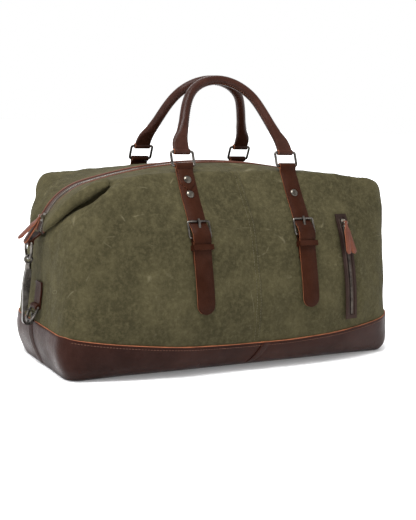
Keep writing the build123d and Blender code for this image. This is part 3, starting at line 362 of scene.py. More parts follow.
FINISHES = {"waxed_canvas": CANVAS_MAT, "base_leather": BASE_MAT, "bottom_leather": PIPING_MAT,
            "piping_leather": PIPING_MAT, "lining_cloth": LINING_MAT, "stiffener_board": BOARD_MAT,
            "zip_tape": TAPE_MAT, "zip_metal": TEETH_MAT, "trim_leather": TRIM_MAT,
            "puller_leather": PULLER_MAT, "handle_leather": HANDLE_MAT, "strap_leather": STRAP_MAT,
            "hardware_metal": METAL_MAT, "rivet_metal": RIVET_MAT}
for node in NODES.values():
    for holder in node.material_slots:
        called = holder.material.name if holder.material else ""
        found = [m for key, m in FINISHES.items() if called.startswith(key)]
        if found:
            holder.material = found[0]
for name, finish in (("pocket_zip_teeth", DARK_TEETH_MAT), ("pocket_zip_trim", FRAME_MAT)):
    for holder in NODES[name].material_slots:
        holder.material = finish

# --- camera and light ---
CAMERA_LENS, CAMERA_SENSOR = 70.8, 36.0
CAMERA_TURN, CAMERA_RISE, CAMERA_ROLL = -28.8, 9.1, 2.2     # degrees
CAMERA_TARGET, CAMERA_DISTANCE = (-0.0008, 0.0, 0.148), 1.6717
camera = bpy.data.objects.new("camera", bpy.data.cameras.new("camera"))
scene.collection.objects.link(camera)
scene.camera = camera
camera.data.lens, camera.data.sensor_width = CAMERA_LENS, CAMERA_SENSOR
camera.data.clip_start, camera.data.clip_end = 0.05, 50.0
turn, rise, roll = radians(CAMERA_TURN), radians(CAMERA_RISE), radians(CAMERA_ROLL)
back = Vector((sin(turn) * cos(rise), -cos(turn) * cos(rise), sin(rise)))
across = (-back).cross(Vector((0, 0, 1))).normalized()
upward = across.cross(-back)
right = across * cos(roll) + upward * sin(roll)
above = upward * cos(roll) - across * sin(roll)
facing = Matrix((right, above, back)).transposed().to_4x4()
camera.matrix_world = Matrix.Translation(Vector(CAMERA_TARGET) + back * CAMERA_DISTANCE) @ facing


def area_light(name, place, target, size, energy):
    light = bpy.data.objects.new(name, bpy.data.lights.new(name, "AREA"))
    light.data.shape, light.data.size, light.data.size_y = "RECTANGLE", size[0], size[1]
    light.data.energy = energy
    light.location = place
    light.rotation_euler = (Vector(target) - Vector(place)).to_track_quat("-Z", "Y").to_euler()
    scene.collection.objects.link(light)


area_light("key", (-1.0, -0.7, 2.7), (0.0, 0.0, 0.15), (1.4, 1.4), 145.0)
area_light("fill", (1.9, -1.6, 1.2), (0.0, 0.0, 0.15), (1.8, 1.4), 7.0)
area_light("side", (-2.2, 0.5, 0.8), (-0.2, 0.0, 0.12), (1.2, 1.0), 8.0)
area_light("rear", (0.4, 2.0, 1.8), (0.0, 0.0, 0.2), (1.8, 1.2), 16.0)

scene.view_settings.view_transform = "Standard"
world = bpy.data.worlds.new("studio")
scene.world = world
world.use_nodes = True
world.node_tree.nodes["Background"].inputs["Color"].default_value = (1.0, 1.0, 1.0, 1.0)
sky = world.node_tree.nodes
aim = sky.new("ShaderNodeTexCoord")
parts = sky.new("ShaderNodeSeparateXYZ")
fade = sky.new("ShaderNodeMapRange")
for key, value in (("From Min", 0.22), ("From Max", 0.6), ("To Min", 1.0), ("To Max", 0.85)):
    fade.inputs[key].default_value = value
world.node_tree.links.new(aim.outputs["Generated"], parts.inputs[0])
world.node_tree.links.new(parts.outputs["Z"], fade.inputs["Value"])
world.node_tree.links.new(fade.outputs[0], sky["Background"].inputs["Strength"])

paper = Finish("studio paper", 0.9, specular=0.1)
paper.shader.inputs["Emission Color"].default_value = (1.0, 1.0, 1.0, 1.0)
reach = paper.node("ShaderNodeVectorMath", {0: paper.place}, operation="LENGTH").outputs["Value"]
paper.links.new(paper.ramp(reach, 0.45, 1.7, 0.14, 0.85), paper.shader.inputs["Emission Strength"])
shade = paper.mix(paper.ramp(paper.noise(3.0), 0.3, 0.7), (0.90, 0.905, 0.915), (0.93, 0.935, 0.94))
paper_mat = paper.done(shade, paper.bump(paper.noise(900.0), 0.02, 0.0002))
floor_mesh = bpy.data.meshes.new("floor")
FLOOR_SIDES, FLOOR_RADII = 64, (1.0, 12.0)
floor_points = [(r * cos(t), r * sin(t), 0.0) for r in FLOOR_RADII for t in round_angles(FLOOR_SIDES)]
floor_mesh.from_pydata(floor_points, [], [tuple(range(FLOOR_SIDES))] + grid_faces(2, FLOOR_SIDES, True))
floor_mesh.materials.append(paper_mat)
floor = bpy.data.objects.new("floor", floor_mesh)
scene.collection.objects.link(floor)

# --- the bag's skin ---
# half sections (distance from the middle plane, height) in the middle and at the ends, as in the CAD
MIDDLE_LINE = smooth_line([(95, 0), (142, 16), (162, 60), (163, 105), (150, 165), (133, 216), (106, 258),
                           (80, 300)], 400)
END_LINE = smooth_line([(112, 0), (118, 16), (119, 60), (117, 105), (113, 165), (107, 216), (100, 258),
                        (88, 300)], 400)
WALL = smooth_line([(281, 0), (296, 45), (292, 75), (287, 112)], 60)
# height of the bag's upper edge along its length, at the front and at the back
FRONT_EAR = smooth_line([(-310, 110), (-292, 168), (-270, 214), (-242, 252), (-214, 280), (-188, 290),
                         (-130, 297), (0, 300), (130, 299), (200, 295), (240, 291), (266, 287), (278, 280),
                         (286, 262), (294, 230), (310, 170)], 400)
BACK_EAR = smooth_line([(-310, 152), (-294, 197), (-279, 233), (-264, 264), (-256, 280), (-234, 285),
                        (-190, 291), (-130, 297), (0, 300), (130, 297), (190, 291), (235, 286), (256, 284),
                        (270, 276), (281, 256), (293, 222), (310, 165)], 400)
SKELETON_X, SKELETON_Z = 190.0, 200.0
STRAP_X, STRAP_HALF, LEATHER = 92.0, 14.5, 2.4
POCKET_X = 172.0
ZIP_ARC, ZIP_ARC_X, ZIP_ARC_Z = 95.0, 194.0, 185.0       # the arc by which the zip turns down over an end
ZIP_TOP_R, ZIP_TOP_Z, ZIP_MEET_X = 779.8, 308.0, 217.0   # the long arc over the top, and where they meet


def zip_height(x, off):
    """Height of the zip's line along the bag, moved outwards by off."""
    a = np.abs(x)
    low = ZIP_ARC_Z + np.sqrt(np.clip((ZIP_ARC + off) ** 2 - (a - ZIP_ARC_X) ** 2, 0.0, None))
    high = ZIP_TOP_Z - ZIP_TOP_R + np.sqrt((ZIP_TOP_R + off) ** 2 - np.minimum(a, ZIP_MEET_X) ** 2)
    return np.where(a > ZIP_MEET_X, low, high)


def top_height(x, y):
    """Height of the bag's top, from the zip's line in the middle to the upper edge at the side."""
    ear = np.where(y < 0, np.interp(x, FRONT_EAR[:, 0], FRONT_EAR[:, 1]),
                   np.interp(x, BACK_EAR[:, 0], BACK_EAR[:, 1]))
    centre = zip_height(x, 1.6)
    share = np.clip(np.abs(y) / 86.0, 0.0, 1.15) ** 1.6
    return centre + (ear - centre) * share


def inside_value(p):
    """Below zero inside the bag, above zero outside it."""
    x, y, z = p[..., 0], p[..., 1], p[..., 2]
    across = np.abs(x)
    weight = np.clip((across - 115.0) / 175.0, 0.0, None) ** 1.6
    middle = np.interp(z, MIDDLE_LINE[:, 1], MIDDLE_LINE[:, 0])
    end = np.interp(z, END_LINE[:, 1], END_LINE[:, 0])
    side = np.abs(y) - (middle + (end - middle) * weight - 0.7 * np.clip(z - 300.0, 0.0, None))
    wall = across - np.interp(z, WALL[:, 1], WALL[:, 0])
    slope = (top_height(x + 1.0, y) - top_height(x - 1.0, y)) / 2
    top = (z - top_height(x, y)) / np.sqrt(1 + np.clip(slope, -6.0, 6.0) ** 2)
    back_left = 30.0 * ease(-x, 60.0, 160.0) * ease(y, 20.0, 60.0)
    back_left = back_left * (1 + 0.9 * ease(z, 130.0, 220.0) - 1.7 * ease(z, 240.0, 276.0))
    front_left = 30.0 * ease(z, 60.0, 150.0) * ease(-x, 60.0, 160.0) * ease(-y, 20.0, 60.0)
    front_right = 24.0 * ease(z, 4.0, 45.0) * ease(x, 60.0, 160.0) * ease(-y, 20.0, 60.0)
    corner = 24.0 + 4.0 * ease(z, 60.0, 150.0) + front_left + back_left + front_right
    rounding = 7.0 + 13.0 * ease(-x, 120.0, 210.0) * ease(-y, 30.0, 60.0)
    return soft_max(soft_max(side, wall, corner), top, rounding)


def skin(origins, directions):
    """Where rays from inside the bag meet its surface."""
    near, far = np.zeros(origins.shape[:-1]), np.full(origins.shape[:-1], 420.0)
    for _ in range(30):
        middle = (near + far) / 2
        outside = inside_value(origins + directions * middle[..., None]) > 0
        far, near = np.where(outside, middle, far), np.where(outside, near, middle)
    return origins + directions * near[..., None]


SEAM_COLUMNS = (-6.0, -5.0, -2.0, 2.0, 5.0, 6.0)


def plan_columns(step):
    """Skeleton point and outward direction of each column round the bag, in plan."""
    half_x, half_y = 288.0, 112.0
    corners = [(-half_x, 0), (-half_x, -half_y), (half_x, -half_y), (half_x, half_y), (-half_x, half_y),
               (-half_x, 0)]
    spots = []
    for (ax, ay), (bx, by) in zip(corners, corners[1:]):
        count = int(round(sqrt((bx - ax) ** 2 + (by - ay) ** 2) / step))
        shares = [i / count for i in range(count)]
        if abs(bx - ax) > half_x:      # close columns beside the centre seam
            shares = sorted(shares + [0.5 + off / (2 * half_x) for off in SEAM_COLUMNS])
        spots += [(ax + (bx - ax) * i, ay + (by - ay) * i) for i in shares]
    spots = np.array(spots)
    centres = np.stack([np.clip(spots[:, 0], -SKELETON_X, SKELETON_X), np.zeros(len(spots))], axis=1)
    return spots, centres, unit(spots - centres)


BASE_LOW, BASE_RISE, BASE_HALF = 46.0, 22.0, 300.0


def base_edge(x):
    """Height of the leather base's top edge, lowest in the middle of each side."""
    return BASE_LOW + BASE_RISE * (np.abs(x) / BASE_HALF) ** 2


rng = np.random.default_rng(7)
RIPPLES = [(unit(rng.normal(size=3)) * 2 * pi / rng.uniform(70, 210), rng.uniform(0, 2 * pi), 0.62)
           for _ in range(9)]
RIPPLES += [(unit(rng.normal(size=3)) * 2 * pi / rng.uniform(22, 48), rng.uniform(0, 2 * pi), 0.16)
            for _ in range(9)]
# soft folds: from, to, height, width
FOLDS = [((-100, -98, 277), (-205, -92, 270), 3.6, 9), ((-120, -78, 299), (-200, -84, 289), 2.6, 8),
         ((-98, -112, 250), (-175, -128, 212), -1.8, 13), ((-240, -108, 222), (-128, -140, 196), -2.4, 9),
         ((-255, -110, 150), (-200, -130, 110), 1.8, 14), ((-70, -100, 272), (-35, -125, 225), -1.6, 12),
         ((-60, -146, 190), (-20, -152, 150), 1.4, 13), ((70, -100, 272), (38, -128, 220), -1.6, 12),
         ((112, -98, 272), (150, -116, 228), -1.6, 12), ((200, -112, 250), (258, -110, 190), 2.0, 14),
         ((215, -120, 180), (270, -108, 120), -1.8, 13), ((120, -92, 290), (245, -98, 275), 2.0, 9),
         ((-30, -158, 120), (40, -160, 95), 1.4, 14), ((-292, -60, 150), (-292, 30, 120), -2.2, 15),
         ((-230, 95, 260), (-150, 100, 280), 2.0, 10), ((-240, 108, 205), (-150, 140, 160), -2.0, 14),
         ((60, 146, 190), (10, 152, 140), 1.6, 14), ((150, 100, 282), (240, 96, 266), 2.0, 10),
         ((215, 118, 190), (150, 142, 150), -2.0, 14), ((-40, 120, 240), (20, 140, 200), -1.6, 13)]


def on_skin(points):
    """Points moved onto the bag's plain skin, along rays from its skeleton."""
    points = np.asarray(points, float)
    start = np.stack([np.clip(points[:, 0], -SKELETON_X, SKELETON_X), np.zeros(len(points)),
                      np.minimum(points[:, 2], SKELETON_Z)], axis=1)
    return skin(start, unit(points - start))


# the edge of the hood where the canvas folds over itself at the front left, and how far it stands off
HOOD_FACING = np.array([-0.55, -0.70, 0.45])     # roughly outwards all along the edge
LIP_COUNT = 60
LIP = on_skin(smooth_line([(-209, -72, 283), (-223, -64, 276), (-236, -60, 266), (-251, -52, 255),
                           (-266, -44, 240), (-279, -34, 223), (-285, -12, 207)], LIP_COUNT))
LIP_SHARE = np.linspace(0.0, 1.0, LIP_COUNT)
LIP_RISE = np.interp(LIP_SHARE, [0.0, 0.05, 0.15, 0.35, 0.7, 1.0], [0.22, 0.55, 0.85, 0.95, 0.62, 0.12])
LIP_DEEP = np.interp(LIP_SHARE, [0.0, 0.08, 0.25, 0.45, 0.7, 1.0], [7.0, 20.0, 19.0, 12.0, 6.0, 1.0])


def near_segment(p, a, b):
    """Distance to a segment, and the share of it where the nearest point lies."""
    a, b = np.array(a, float), np.array(b, float)
    share = np.clip(((p - a) @ (b - a)) / ((b - a) @ (b - a)), 0, 1)
    return np.linalg.norm(p - (a + share[..., None] * (b - a)), axis=-1), share


def relief(p):
    """How far the canvas stands off its plain shape, and the hollow under the hood's edge."""
    x, y, z = p[..., 0], p[..., 1], p[..., 2]
    moved = np.zeros(p.shape[:-1])
    for wave, phase, size in RIPPLES:
        moved += size * np.sin(p @ wave + phase)
    for a, b, height, width in FOLDS:
        distance, share = near_segment(p, a, b)
        moved += height * np.exp(-(distance / width) ** 2) * np.sin(pi * np.clip(share, 0.02, 0.98)) ** 0.6
    # flat under the straps, the zip's trims and the pocket zip
    calm = ease(np.abs(np.abs(x) - STRAP_X), 15.0, 34.0)
    calm = calm * ease(np.abs(y), 22.0, 40.0)
    calm = calm * np.where((y < 0) & (z < 250), ease(np.abs(x - POCKET_X), 12.0, 30.0), 1.0)
    calm = calm * ease(z, 55.0, 95.0)
    moved = moved * calm - 0.5 * (1 - calm)
    # the overlapped centre seams of the front and the back
    side = ease(np.abs(y), 60.0, 80.0)
    moved += 1.1 * (1 - ease(np.abs(x), 4.6, 5.6)) * side - 1.8 * np.exp(-(x / 14.0) ** 2) * side
    # the zip and its tapes lie in a shallow track
    moved -= 6.0 * (1 - ease(np.abs(y), 11.5, 15.5)) * ease(z, 196.0, 204.0)
    # the hollow: below each point's nearest place on the hood's edge
    gap = p[..., None, :] - LIP
    nearest = np.argmin(np.linalg.norm(gap, axis=-1), axis=-1)
    away = np.take_along_axis(gap, nearest[..., None, None], axis=-2)[..., 0, :]
    tangent = unit(np.gradient(LIP, axis=0))[nearest]
    below = unit(np.cross(tangent, unit(HOOD_FACING)))
    below = np.where(below[..., 2:] > 0, -below, below)
    signed = np.sum(away * below, axis=-1)
    distance = np.linalg.norm(away, axis=-1)
    here = (x < -160) & (y < 14)
    lower = np.where(here, ease(signed, -9.0, 5.0), 0.0)
    moved -= LIP_DEEP[nearest] * np.exp(-(distance / 17.0) ** 2) * lower
    return moved


def normals_of(points):
    """Outward normals of a closed grid (rows x columns x 3), by differences."""
    along = np.roll(points, -1, axis=1) - np.roll(points, 1, axis=1)
    up = np.gradient(points, axis=0)
    return unit(np.cross(along, up))


STEP = 3.4
spots, centres, outward = plan_columns(STEP)
columns = len(spots)
low_edge = base_edge(spots[:, 0]) - 9.0
origins, directions = [], []
for share in np.linspace(0.0, 1.0, int(150 / STEP)):
    level = low_edge + (SKELETON_Z - low_edge) * share
    origins.append(np.column_stack([centres, level]))
    directions.append(np.column_stack([outward, np.zeros(columns)]))
for tilt in np.radians(np.linspace(1.6, 88.6, int(205 / STEP))):
    origins.append(np.column_stack([centres, np.full(columns, SKELETON_Z)]))
    directions.append(np.column_stack([outward * cos(tilt), np.full(columns, sin(tilt))]))
plain = skin(np.array(origins), np.array(directions))
normal = normals_of(plain)
canvas_points = plain + normal * relief(plain)[..., None]
rows = len(canvas_points)
climb = np.linalg.norm(np.diff(plain, axis=0), axis=2)
run_up = np.concatenate([np.zeros((1, columns)), np.cumsum(climb, axis=0)])
cloth_uv = np.stack([np.tile(np.arange(columns) * STEP, (rows, 1)), run_up], axis=-1).reshape(-1, 2)
canvas = mesh_piece("canvas_body", canvas_points.reshape(-1, 3), grid_faces(rows, columns, True),
                    [CANVAS_MAT], "bag", uvs=cloth_uv, solid=1.6)
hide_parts("canvas_front_left", "canvas_front_right", "canvas_back_left", "canvas_back_right")

LINING_IN = 4.0
lining_points = (canvas_points - normals_of(canvas_points) * LINING_IN)[:, ::2]
lining = mesh_piece("lining_shell", lining_points.reshape(-1, 3),
                    grid_faces(rows, lining_points.shape[1], True), [LINING_MAT], "bag", solid=0.8)
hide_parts("lining")

# the hood's canvas folded over itself: it leaves the skin, stands off, rolls round and tucks back under
FOLD_COUNT, FOLD_FREE = 44, 24       # points across the fold, and where it leaves the bag's own curve
FOLD = smooth_line([(-62, -1.5), (-50, 0.6), (-38, 4.0), (-26, 8.6), (-15, 13.0), (-5, 16.0), (3, 16.4),
                    (8.5, 14.0), (10, 10.6), (7.5, 7.6), (2, 6.0), (-6, 4.2), (-14, 1.0), (-20, -4.0)],
                   FOLD_COUNT)
lip_along = unit(np.gradient(LIP, axis=0))
lip_out = unit(np.cross(lip_along, unit(np.cross(HOOD_FACING, lip_along))))
lip_out = np.where(lip_out @ HOOD_FACING > 0, 1.0, -1.0)[:, None] * lip_out
lip_below = unit(np.cross(lip_along, lip_out))
lip_below = np.where(lip_below[:, 2:] > 0, -lip_below, lip_below)
fold_rows = []
for spot, out, below, size in zip(LIP, lip_out, lip_below, LIP_RISE):
    flat = spot + below * (FOLD[:, :1] * (0.2 + 0.8 * size))
    on = on_skin(flat[:FOLD_FREE])          # the upper part follows the bag's own curve
    on = np.concatenate([on, flat[FOLD_FREE:] + (on[-1] - flat[FOLD_FREE - 1])])
    fold_rows.append(on + out * (FOLD[:, 1:] * size))
fold_rows = np.array(fold_rows)
fold_uv = np.stack(np.meshgrid(np.arange(FOLD_COUNT) * 2.2, np.arange(LIP_COUNT) * 2.4), axis=-1)
hood_fold = mesh_piece("hood_fold", fold_rows.reshape(-1, 3), grid_faces(LIP_COUNT, FOLD_COUNT, False),
                       [CANVAS_MAT], "bag", uvs=fold_uv.reshape(-1, 2), solid=1.2)

# --- leather base ---
BASE_ROWS, BASE_FOOT, BASE_OUT = 16, 2.0, 1.6


def base_dent(p):
    """Soft unevenness of the base's leather."""
    moved = sum(0.45 * size * np.sin(p @ wave + phase) for wave, phase, size in RIPPLES[:9])
    return moved * ease(p[..., 2], 4.0, 20.0) * (1 - 0.6 * ease(p[..., 2], 40.0, 60.0))


base_rows = []
for share in np.linspace(0.0, 1.0, BASE_ROWS):
    level = BASE_FOOT + (base_edge(spots[:, 0]) - BASE_FOOT) * share
    base_rows.append(skin(np.column_stack([centres, level]), np.column_stack([outward, np.zeros(columns)])))
base_plain = np.array(base_rows)
base_normal = normals_of(base_plain)
base_points = base_plain + base_normal * (BASE_OUT + base_dent(base_plain))[..., None]
rim = [base_points[-1] + np.array([0, 0, 0.5]) - base_normal[-1] * 0.5,
       base_points[-1] + np.array([0, 0, 0.7]) - base_normal[-1] * 1.3,
       base_points[-1] - base_normal[-1] * 3.2]
base_points = np.concatenate([base_points, np.array(rim)])
marks = [0] * ((BASE_ROWS - 1) * columns) + [1] * (len(rim) * columns)
base = mesh_piece("leather_base", base_points.reshape(-1, 3), grid_faces(len(base_points), columns, True),
                  [BASE_MAT, EDGE_MAT], "bag", indices=marks, solid=1.0)
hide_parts("base_leather_front_left", "base_leather_front_right", "base_leather_back_left",
            "base_leather_back_right")

# the base's seams: the next piece of leather laps over the last one along a slanting edge
LAP = np.array([(-0.4, -1.0), (-0.2, 0.9), (0.5, 1.35), (3.0, 1.3), (8.0, 0.8), (14.0, -0.6)])
LAP_ROWS, LAP_OUT = 26, 2.6
# each seam: the way it laps, and its place in plan at the foot and at the top
BASE_SEAMS = (((1.0, 0.0), (-9.0, -142.0), (13.0, -160.0)), ((0.0, -1.0), (-290.0, -2.0), (-295.0, 24.0)))
build = Builder()
for lap_way, low_at, high_at in BASE_SEAMS:
    heights = np.linspace(3.0, base_edge(high_at[0]) - 0.4, LAP_ROWS)
    share = ((heights - heights[0]) / (heights[-1] - heights[0]))[:, None, None]
    plan = np.array(low_at) * (1 - share) + np.array(high_at) * share + LAP[:, :1] * np.array([lap_way])
    hub = np.stack([np.clip(plan[..., 0], -SKELETON_X, SKELETON_X), np.zeros(plan.shape[:2])], axis=-1)
    level = np.broadcast_to(heights[:, None, None], (*plan.shape[:2], 1))
    way = np.concatenate([unit(plan - hub), np.zeros((*plan.shape[:2], 1))], axis=-1)
    at = skin(np.concatenate([hub, level], axis=-1), way)
    at = at + way * (LAP_OUT + base_dent(at) + LAP[:, 1])[..., None]
    build.add(at.reshape(-1, 3), grid_faces(LAP_ROWS, len(LAP), False))
build.piece("base_seams", [BASE_MAT], "bag")


# --- stitching ---
def resample(line, step):
    """Points at equal steps along a polyline."""
    line = np.asarray(line, float)
    run = run_along(line)
    count = max(2, int(round(run[-1] / step)))
    q = (np.arange(count) + 0.5) * run[-1] / count
    return np.stack([np.interp(q, run, line[:, k]) for k in range(3)], axis=1)


def stitches(name, lines, material, body="bag", pitch=5.0, length=3.6, radius=0.45):
    """Rows of separate stitches along lines, as one piece."""
    build = Builder()
    for line, normal in lines:
        at = resample(line, pitch)
        tangent = unit(np.gradient(at, axis=0))
        normal = np.asarray(normal, float)
        if normal.ndim == 1:
            normal = np.broadcast_to(normal, at.shape)
        else:
            here, there = np.linspace(0, 1, len(at)), np.linspace(0, 1, len(normal))
            normal = np.stack([np.interp(here, there, normal[:, k]) for k in range(3)], axis=1)
        side = unit(np.cross(tangent, normal))
        for p, t, s in zip(at, tangent, side):
            up = np.cross(s, t)
            verts = [p + t * length * along + (s * cos(a) + up * sin(a) * 0.8) * radius * size
                     for along, size in ((-0.5, 0.25), (-0.32, 1.0), (0.32, 1.0), (0.5, 0.25))
                     for a in round_angles(6)]
            faces = grid_faces(4, 6, True) + [tuple(reversed(range(6))), tuple(range(18, 24))]
            build.add(verts, faces)
    return build.piece(name, [material], body)


top_row, top_normal = base_points[BASE_ROWS - 1], base_normal[BASE_ROWS - 1]
stitch_ring = top_row - np.array([0, 0, 1.0]) * 4.2 + top_normal * 0.15
order = np.append(np.arange(columns), 0)
stitches("base_stitching", [(stitch_ring[order], top_normal[order])], THREAD_MAT, pitch=4.6)

# seams of the canvas: the front and back centres, and the middle of each end
SEAM_POINTS, END_SEAM_POINTS = 60, 30
seam_rows = []
for side_y in (-1, 1):
    for seam_x in (-3.2, 3.2):
        heights = np.linspace(50, 302, SEAM_POINTS)
        seam_at = np.full(SEAM_POINTS, seam_x)
        start = np.column_stack([seam_at, np.zeros(SEAM_POINTS), np.minimum(heights, SKELETON_Z)])
        half = np.interp(heights, MIDDLE_LINE[:, 1], MIDDLE_LINE[:, 0])
        at = skin(start, unit(np.column_stack([seam_at, side_y * half, heights]) - start))
        lift_here = relief(at)
        out = np.array([0.0, side_y, 0.25])
        seam_rows.append((at + out * (lift_here[:, None] + 0.1), out))
stitches("canvas_seam_stitching", seam_rows, OLIVE_THREAD_MAT, pitch=4.4, length=3.2, radius=0.4)
end_rows = []
for side_x in (-1, 1):
    for seam_y in (-3.0, 3.0):
        heights = np.linspace(72, 176, END_SEAM_POINTS)
        start = np.column_stack([np.full(END_SEAM_POINTS, side_x * SKELETON_X),
                                 np.full(END_SEAM_POINTS, seam_y), heights])
        out = np.array([side_x * 1.0, 0.0, 0.0])
        at = skin(start, np.tile(out, (END_SEAM_POINTS, 1)))
        end_rows.append((at + out * (relief(at)[:, None] + 0.1), out))
stitches("end_seam_stitching", end_rows, OLIVE_THREAD_MAT, pitch=4.4, length=3.2, radius=0.4)


# --- straps ---
def face(z, off):
    """(distance from the middle plane, height) on the front at a height, moved outwards by off."""
    u = np.interp(z, MIDDLE_LINE[:, 1], MIDDLE_LINE[:, 0])
    slope = (np.interp(z + 1, MIDDLE_LINE[:, 1], MIDDLE_LINE[:, 0])
             - np.interp(z - 1, MIDDLE_LINE[:, 1], MIDDLE_LINE[:, 0])) / 2
    length = sqrt(1 + slope * slope)
    return u + off / length, z - slope * off / length


RING_AT, LOOP_R = (78.5, 308.0), 3.3
LOOP = [(RING_AT[0] + LOOP_R * cos(radians(a)), RING_AT[1] + LOOP_R * sin(radians(a)))
        for a in (265, 225, 185, 145, 105, 65, 25)]
FRONT_LINE = LOOP + [(RING_AT[0] + 3.2, 302.0)] + [face(z, 1.7) for z in (291, 279, 267, 255, 245, 238, 232)]
FRONT_LINE += [face(z, off) for z, off in ((224, 3.4), (216, 7.0), (207, 9.4), (199, 8.0), (193, 6.2),
                                           (187, 5.1), (179, 4.7), (165, 4.5), (145, 4.5), (125, 4.5),
                                           (108, 4.5), (97, 4.5))]
BACK_LINE = LOOP + [(RING_AT[0] + 3.2, 302.0)]
BACK_LINE += [face(z, 1.7) for z in (291, 270, 245, 216, 185, 155, 125, 95, 72)]


def profile(half_width, half_thick, crown=0.35, bevel=0.55):
    """Section of a leather strap as (across, up), with its two cut edges at columns 2 and 7."""
    w, h, e = half_width, half_thick, min(bevel, half_width * 0.4)
    return np.array([(-w + e, -h), (w - e, -h), (w, -h + e), (w, h - e), (w - e, h), (0, h + crown),
                     (-w + e, h), (-w, h - e), (-w, -h + e)])


def strap_part(build, line, x, side_y, half_width, thick, rounded_tip, count=150, crown=0.35,
               pointed=False):
    """Adds a leather strip that follows a line of (u, z), centred on x."""
    at = smooth_line(line, count)
    centres = np.column_stack([np.full(count, x), side_y * at[:, 0], at[:, 1]])
    tangent = unit(np.gradient(centres, axis=0))
    side = np.tile([1.0, 0.0, 0.0], (count, 1))
    up = unit(np.cross(tangent, side)) * side_y
    run = run_along(centres)
    left = run[-1] - run
    widths = np.full(count, half_width)
    if rounded_tip:
        d = np.clip(left, 0.02, half_width)
        widths = d if pointed else np.sqrt(half_width ** 2 - (half_width - d) ** 2)
    profiles = [profile(w, thick / 2, crown * min(1.0, w / half_width)) for w in widths]
    build.tube(centres, up, side, profiles, 0, True, 1, (2, 7))
    return centres, up, run


strap_stitches = []
for side_name, side_x in (("left", -1), ("right", 1)):
    build = Builder()
    at, up, run = strap_part(build, FRONT_LINE, side_x * STRAP_X, -1, STRAP_HALF, LEATHER, True, 190)
    strap = build.piece(f"front_strap_{side_name}", [STRAP_MAT, EDGE_MAT], "bag")
    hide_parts(f"strap_front_{side_name}")
    part = (at[:, 2] < 300) & (at[:, 2] > 234) & (run > 12)
    for off in (-11.6, 11.6):
        strap_stitches.append((at[part] + np.array([off, 0, 0]) + up[part] * 1.45, up[part]))
    for level in (297.0, 293.0):
        k = int(np.argmin(np.abs(at[:, 2] - level) + (run < 12) * 100))
        row = np.linspace(-11.5, 11.5, 12)[:, None] * np.array([1.0, 0, 0])
        strap_stitches.append((at[k] + up[k] * 1.55 + row, up[k]))
    if side_x < 0:      # a pointed tongue lies over the left strap's rivets
        build = Builder()
        tongue_line = [(RING_AT[0] + 4.9, 303.0)] + [face(z, 4.0) for z in (294, 286, 278)]
        tongue_line.append(face(270.5, 3.7))
        strap_part(build, tongue_line, side_x * STRAP_X, -1, 12.0, 1.6, True, 60, 0.2, True)
        tongue = build.piece(f"strap_tongue_{side_name}", [STRAP_MAT, EDGE_MAT], "bag")
    build = Builder()
    strap_part(build, BACK_LINE, side_x * STRAP_X, 1, STRAP_HALF, LEATHER, False, 150)
    strap = build.piece(f"back_strap_{side_name}", [STRAP_MAT, EDGE_MAT], "bag")
    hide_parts(f"strap_back_{side_name}")
stitches("strap_stitching", strap_stitches, THREAD_MAT, pitch=3.6, length=2.7, radius=0.38)

# domed rivets, each a stack of rings (radius, height)
RIVET_RINGS = [(6.1, 0.0), (6.4, 0.4), (6.0, 0.95), (5.1, 1.7), (3.7, 2.35), (2.0, 2.75), (0.3, 2.9)]
RIVET_SIDES = 24
build = Builder()
for side_x, z, off in ((-1, 286.0, 4.9), (-1, 266.0, 3.0), (1, 266.0, 3.0)):
    u, height = face(z, off)
    inner = face(z, off - 1.0)
    out = unit(np.array([0.0, -(u - inner[0]), height - inner[1]]))
    first = np.array([1.0, 0.0, 0.0])
    second = np.cross(out, first)
    centre = np.array([side_x * STRAP_X, -u, height])
    verts = [centre + out * up_by + (first * cos(t) + second * sin(t)) * r
             for r, up_by in RIVET_RINGS for t in round_angles(RIVET_SIDES)]
    crown = RIVET_SIDES * (len(RIVET_RINGS) - 1)
    ends = [tuple(range(crown, crown + RIVET_SIDES)), tuple(reversed(range(RIVET_SIDES)))]
    build.add(verts, grid_faces(len(RIVET_RINGS), RIVET_SIDES, True) + ends)
rivets = build.piece("domed_rivets", [RIVET_MAT], "bag")
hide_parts("strap_rivets")

# --- handles ---
_, BAR_Y, BAR_Z = JOINT_AT["front_handle_swing"]
UPPER_BAR, HANDLE_LEAN = (-BAR_Y, BAR_Z), radians(29.8)
HALF_PATH = [(92.0, 1.5), (91.8, 9.0), (90.2, 17.0), (84.9, 30.0), (77.3, 50.0)]
HALF_SIZES = [(13.0, 2.9), (13.0, 3.2), (12.2, 4.4), (9.4, 6.4), (7.7, 7.5)]
ARC_PATH = [(70 * cos(radians(a)), 56 + 70 * sin(radians(a))) for a in range(21, 160, 12)]
PATH = HALF_PATH + ARC_PATH + [(-x, h) for x, h in reversed(HALF_PATH)]
SIZES = HALF_SIZES + [(7.5, 7.5)] * len(ARC_PATH) + list(reversed(HALF_SIZES))
HANDLE_COUNT, HANDLE_RING = 150, 28


def round_profile(a, b):
    """Section of the handle: round where a equals b, towards a flat tab where it is wider."""
    power = 2.0 / (2.0 + 2.5 * max(0.0, a / b - 1.0) / 3.5)
    return np.array([(a * np.sign(cos(t)) * abs(cos(t)) ** power,
                      b * np.sign(sin(t)) * abs(sin(t)) ** power) for t in round_angles(HANDLE_RING)])


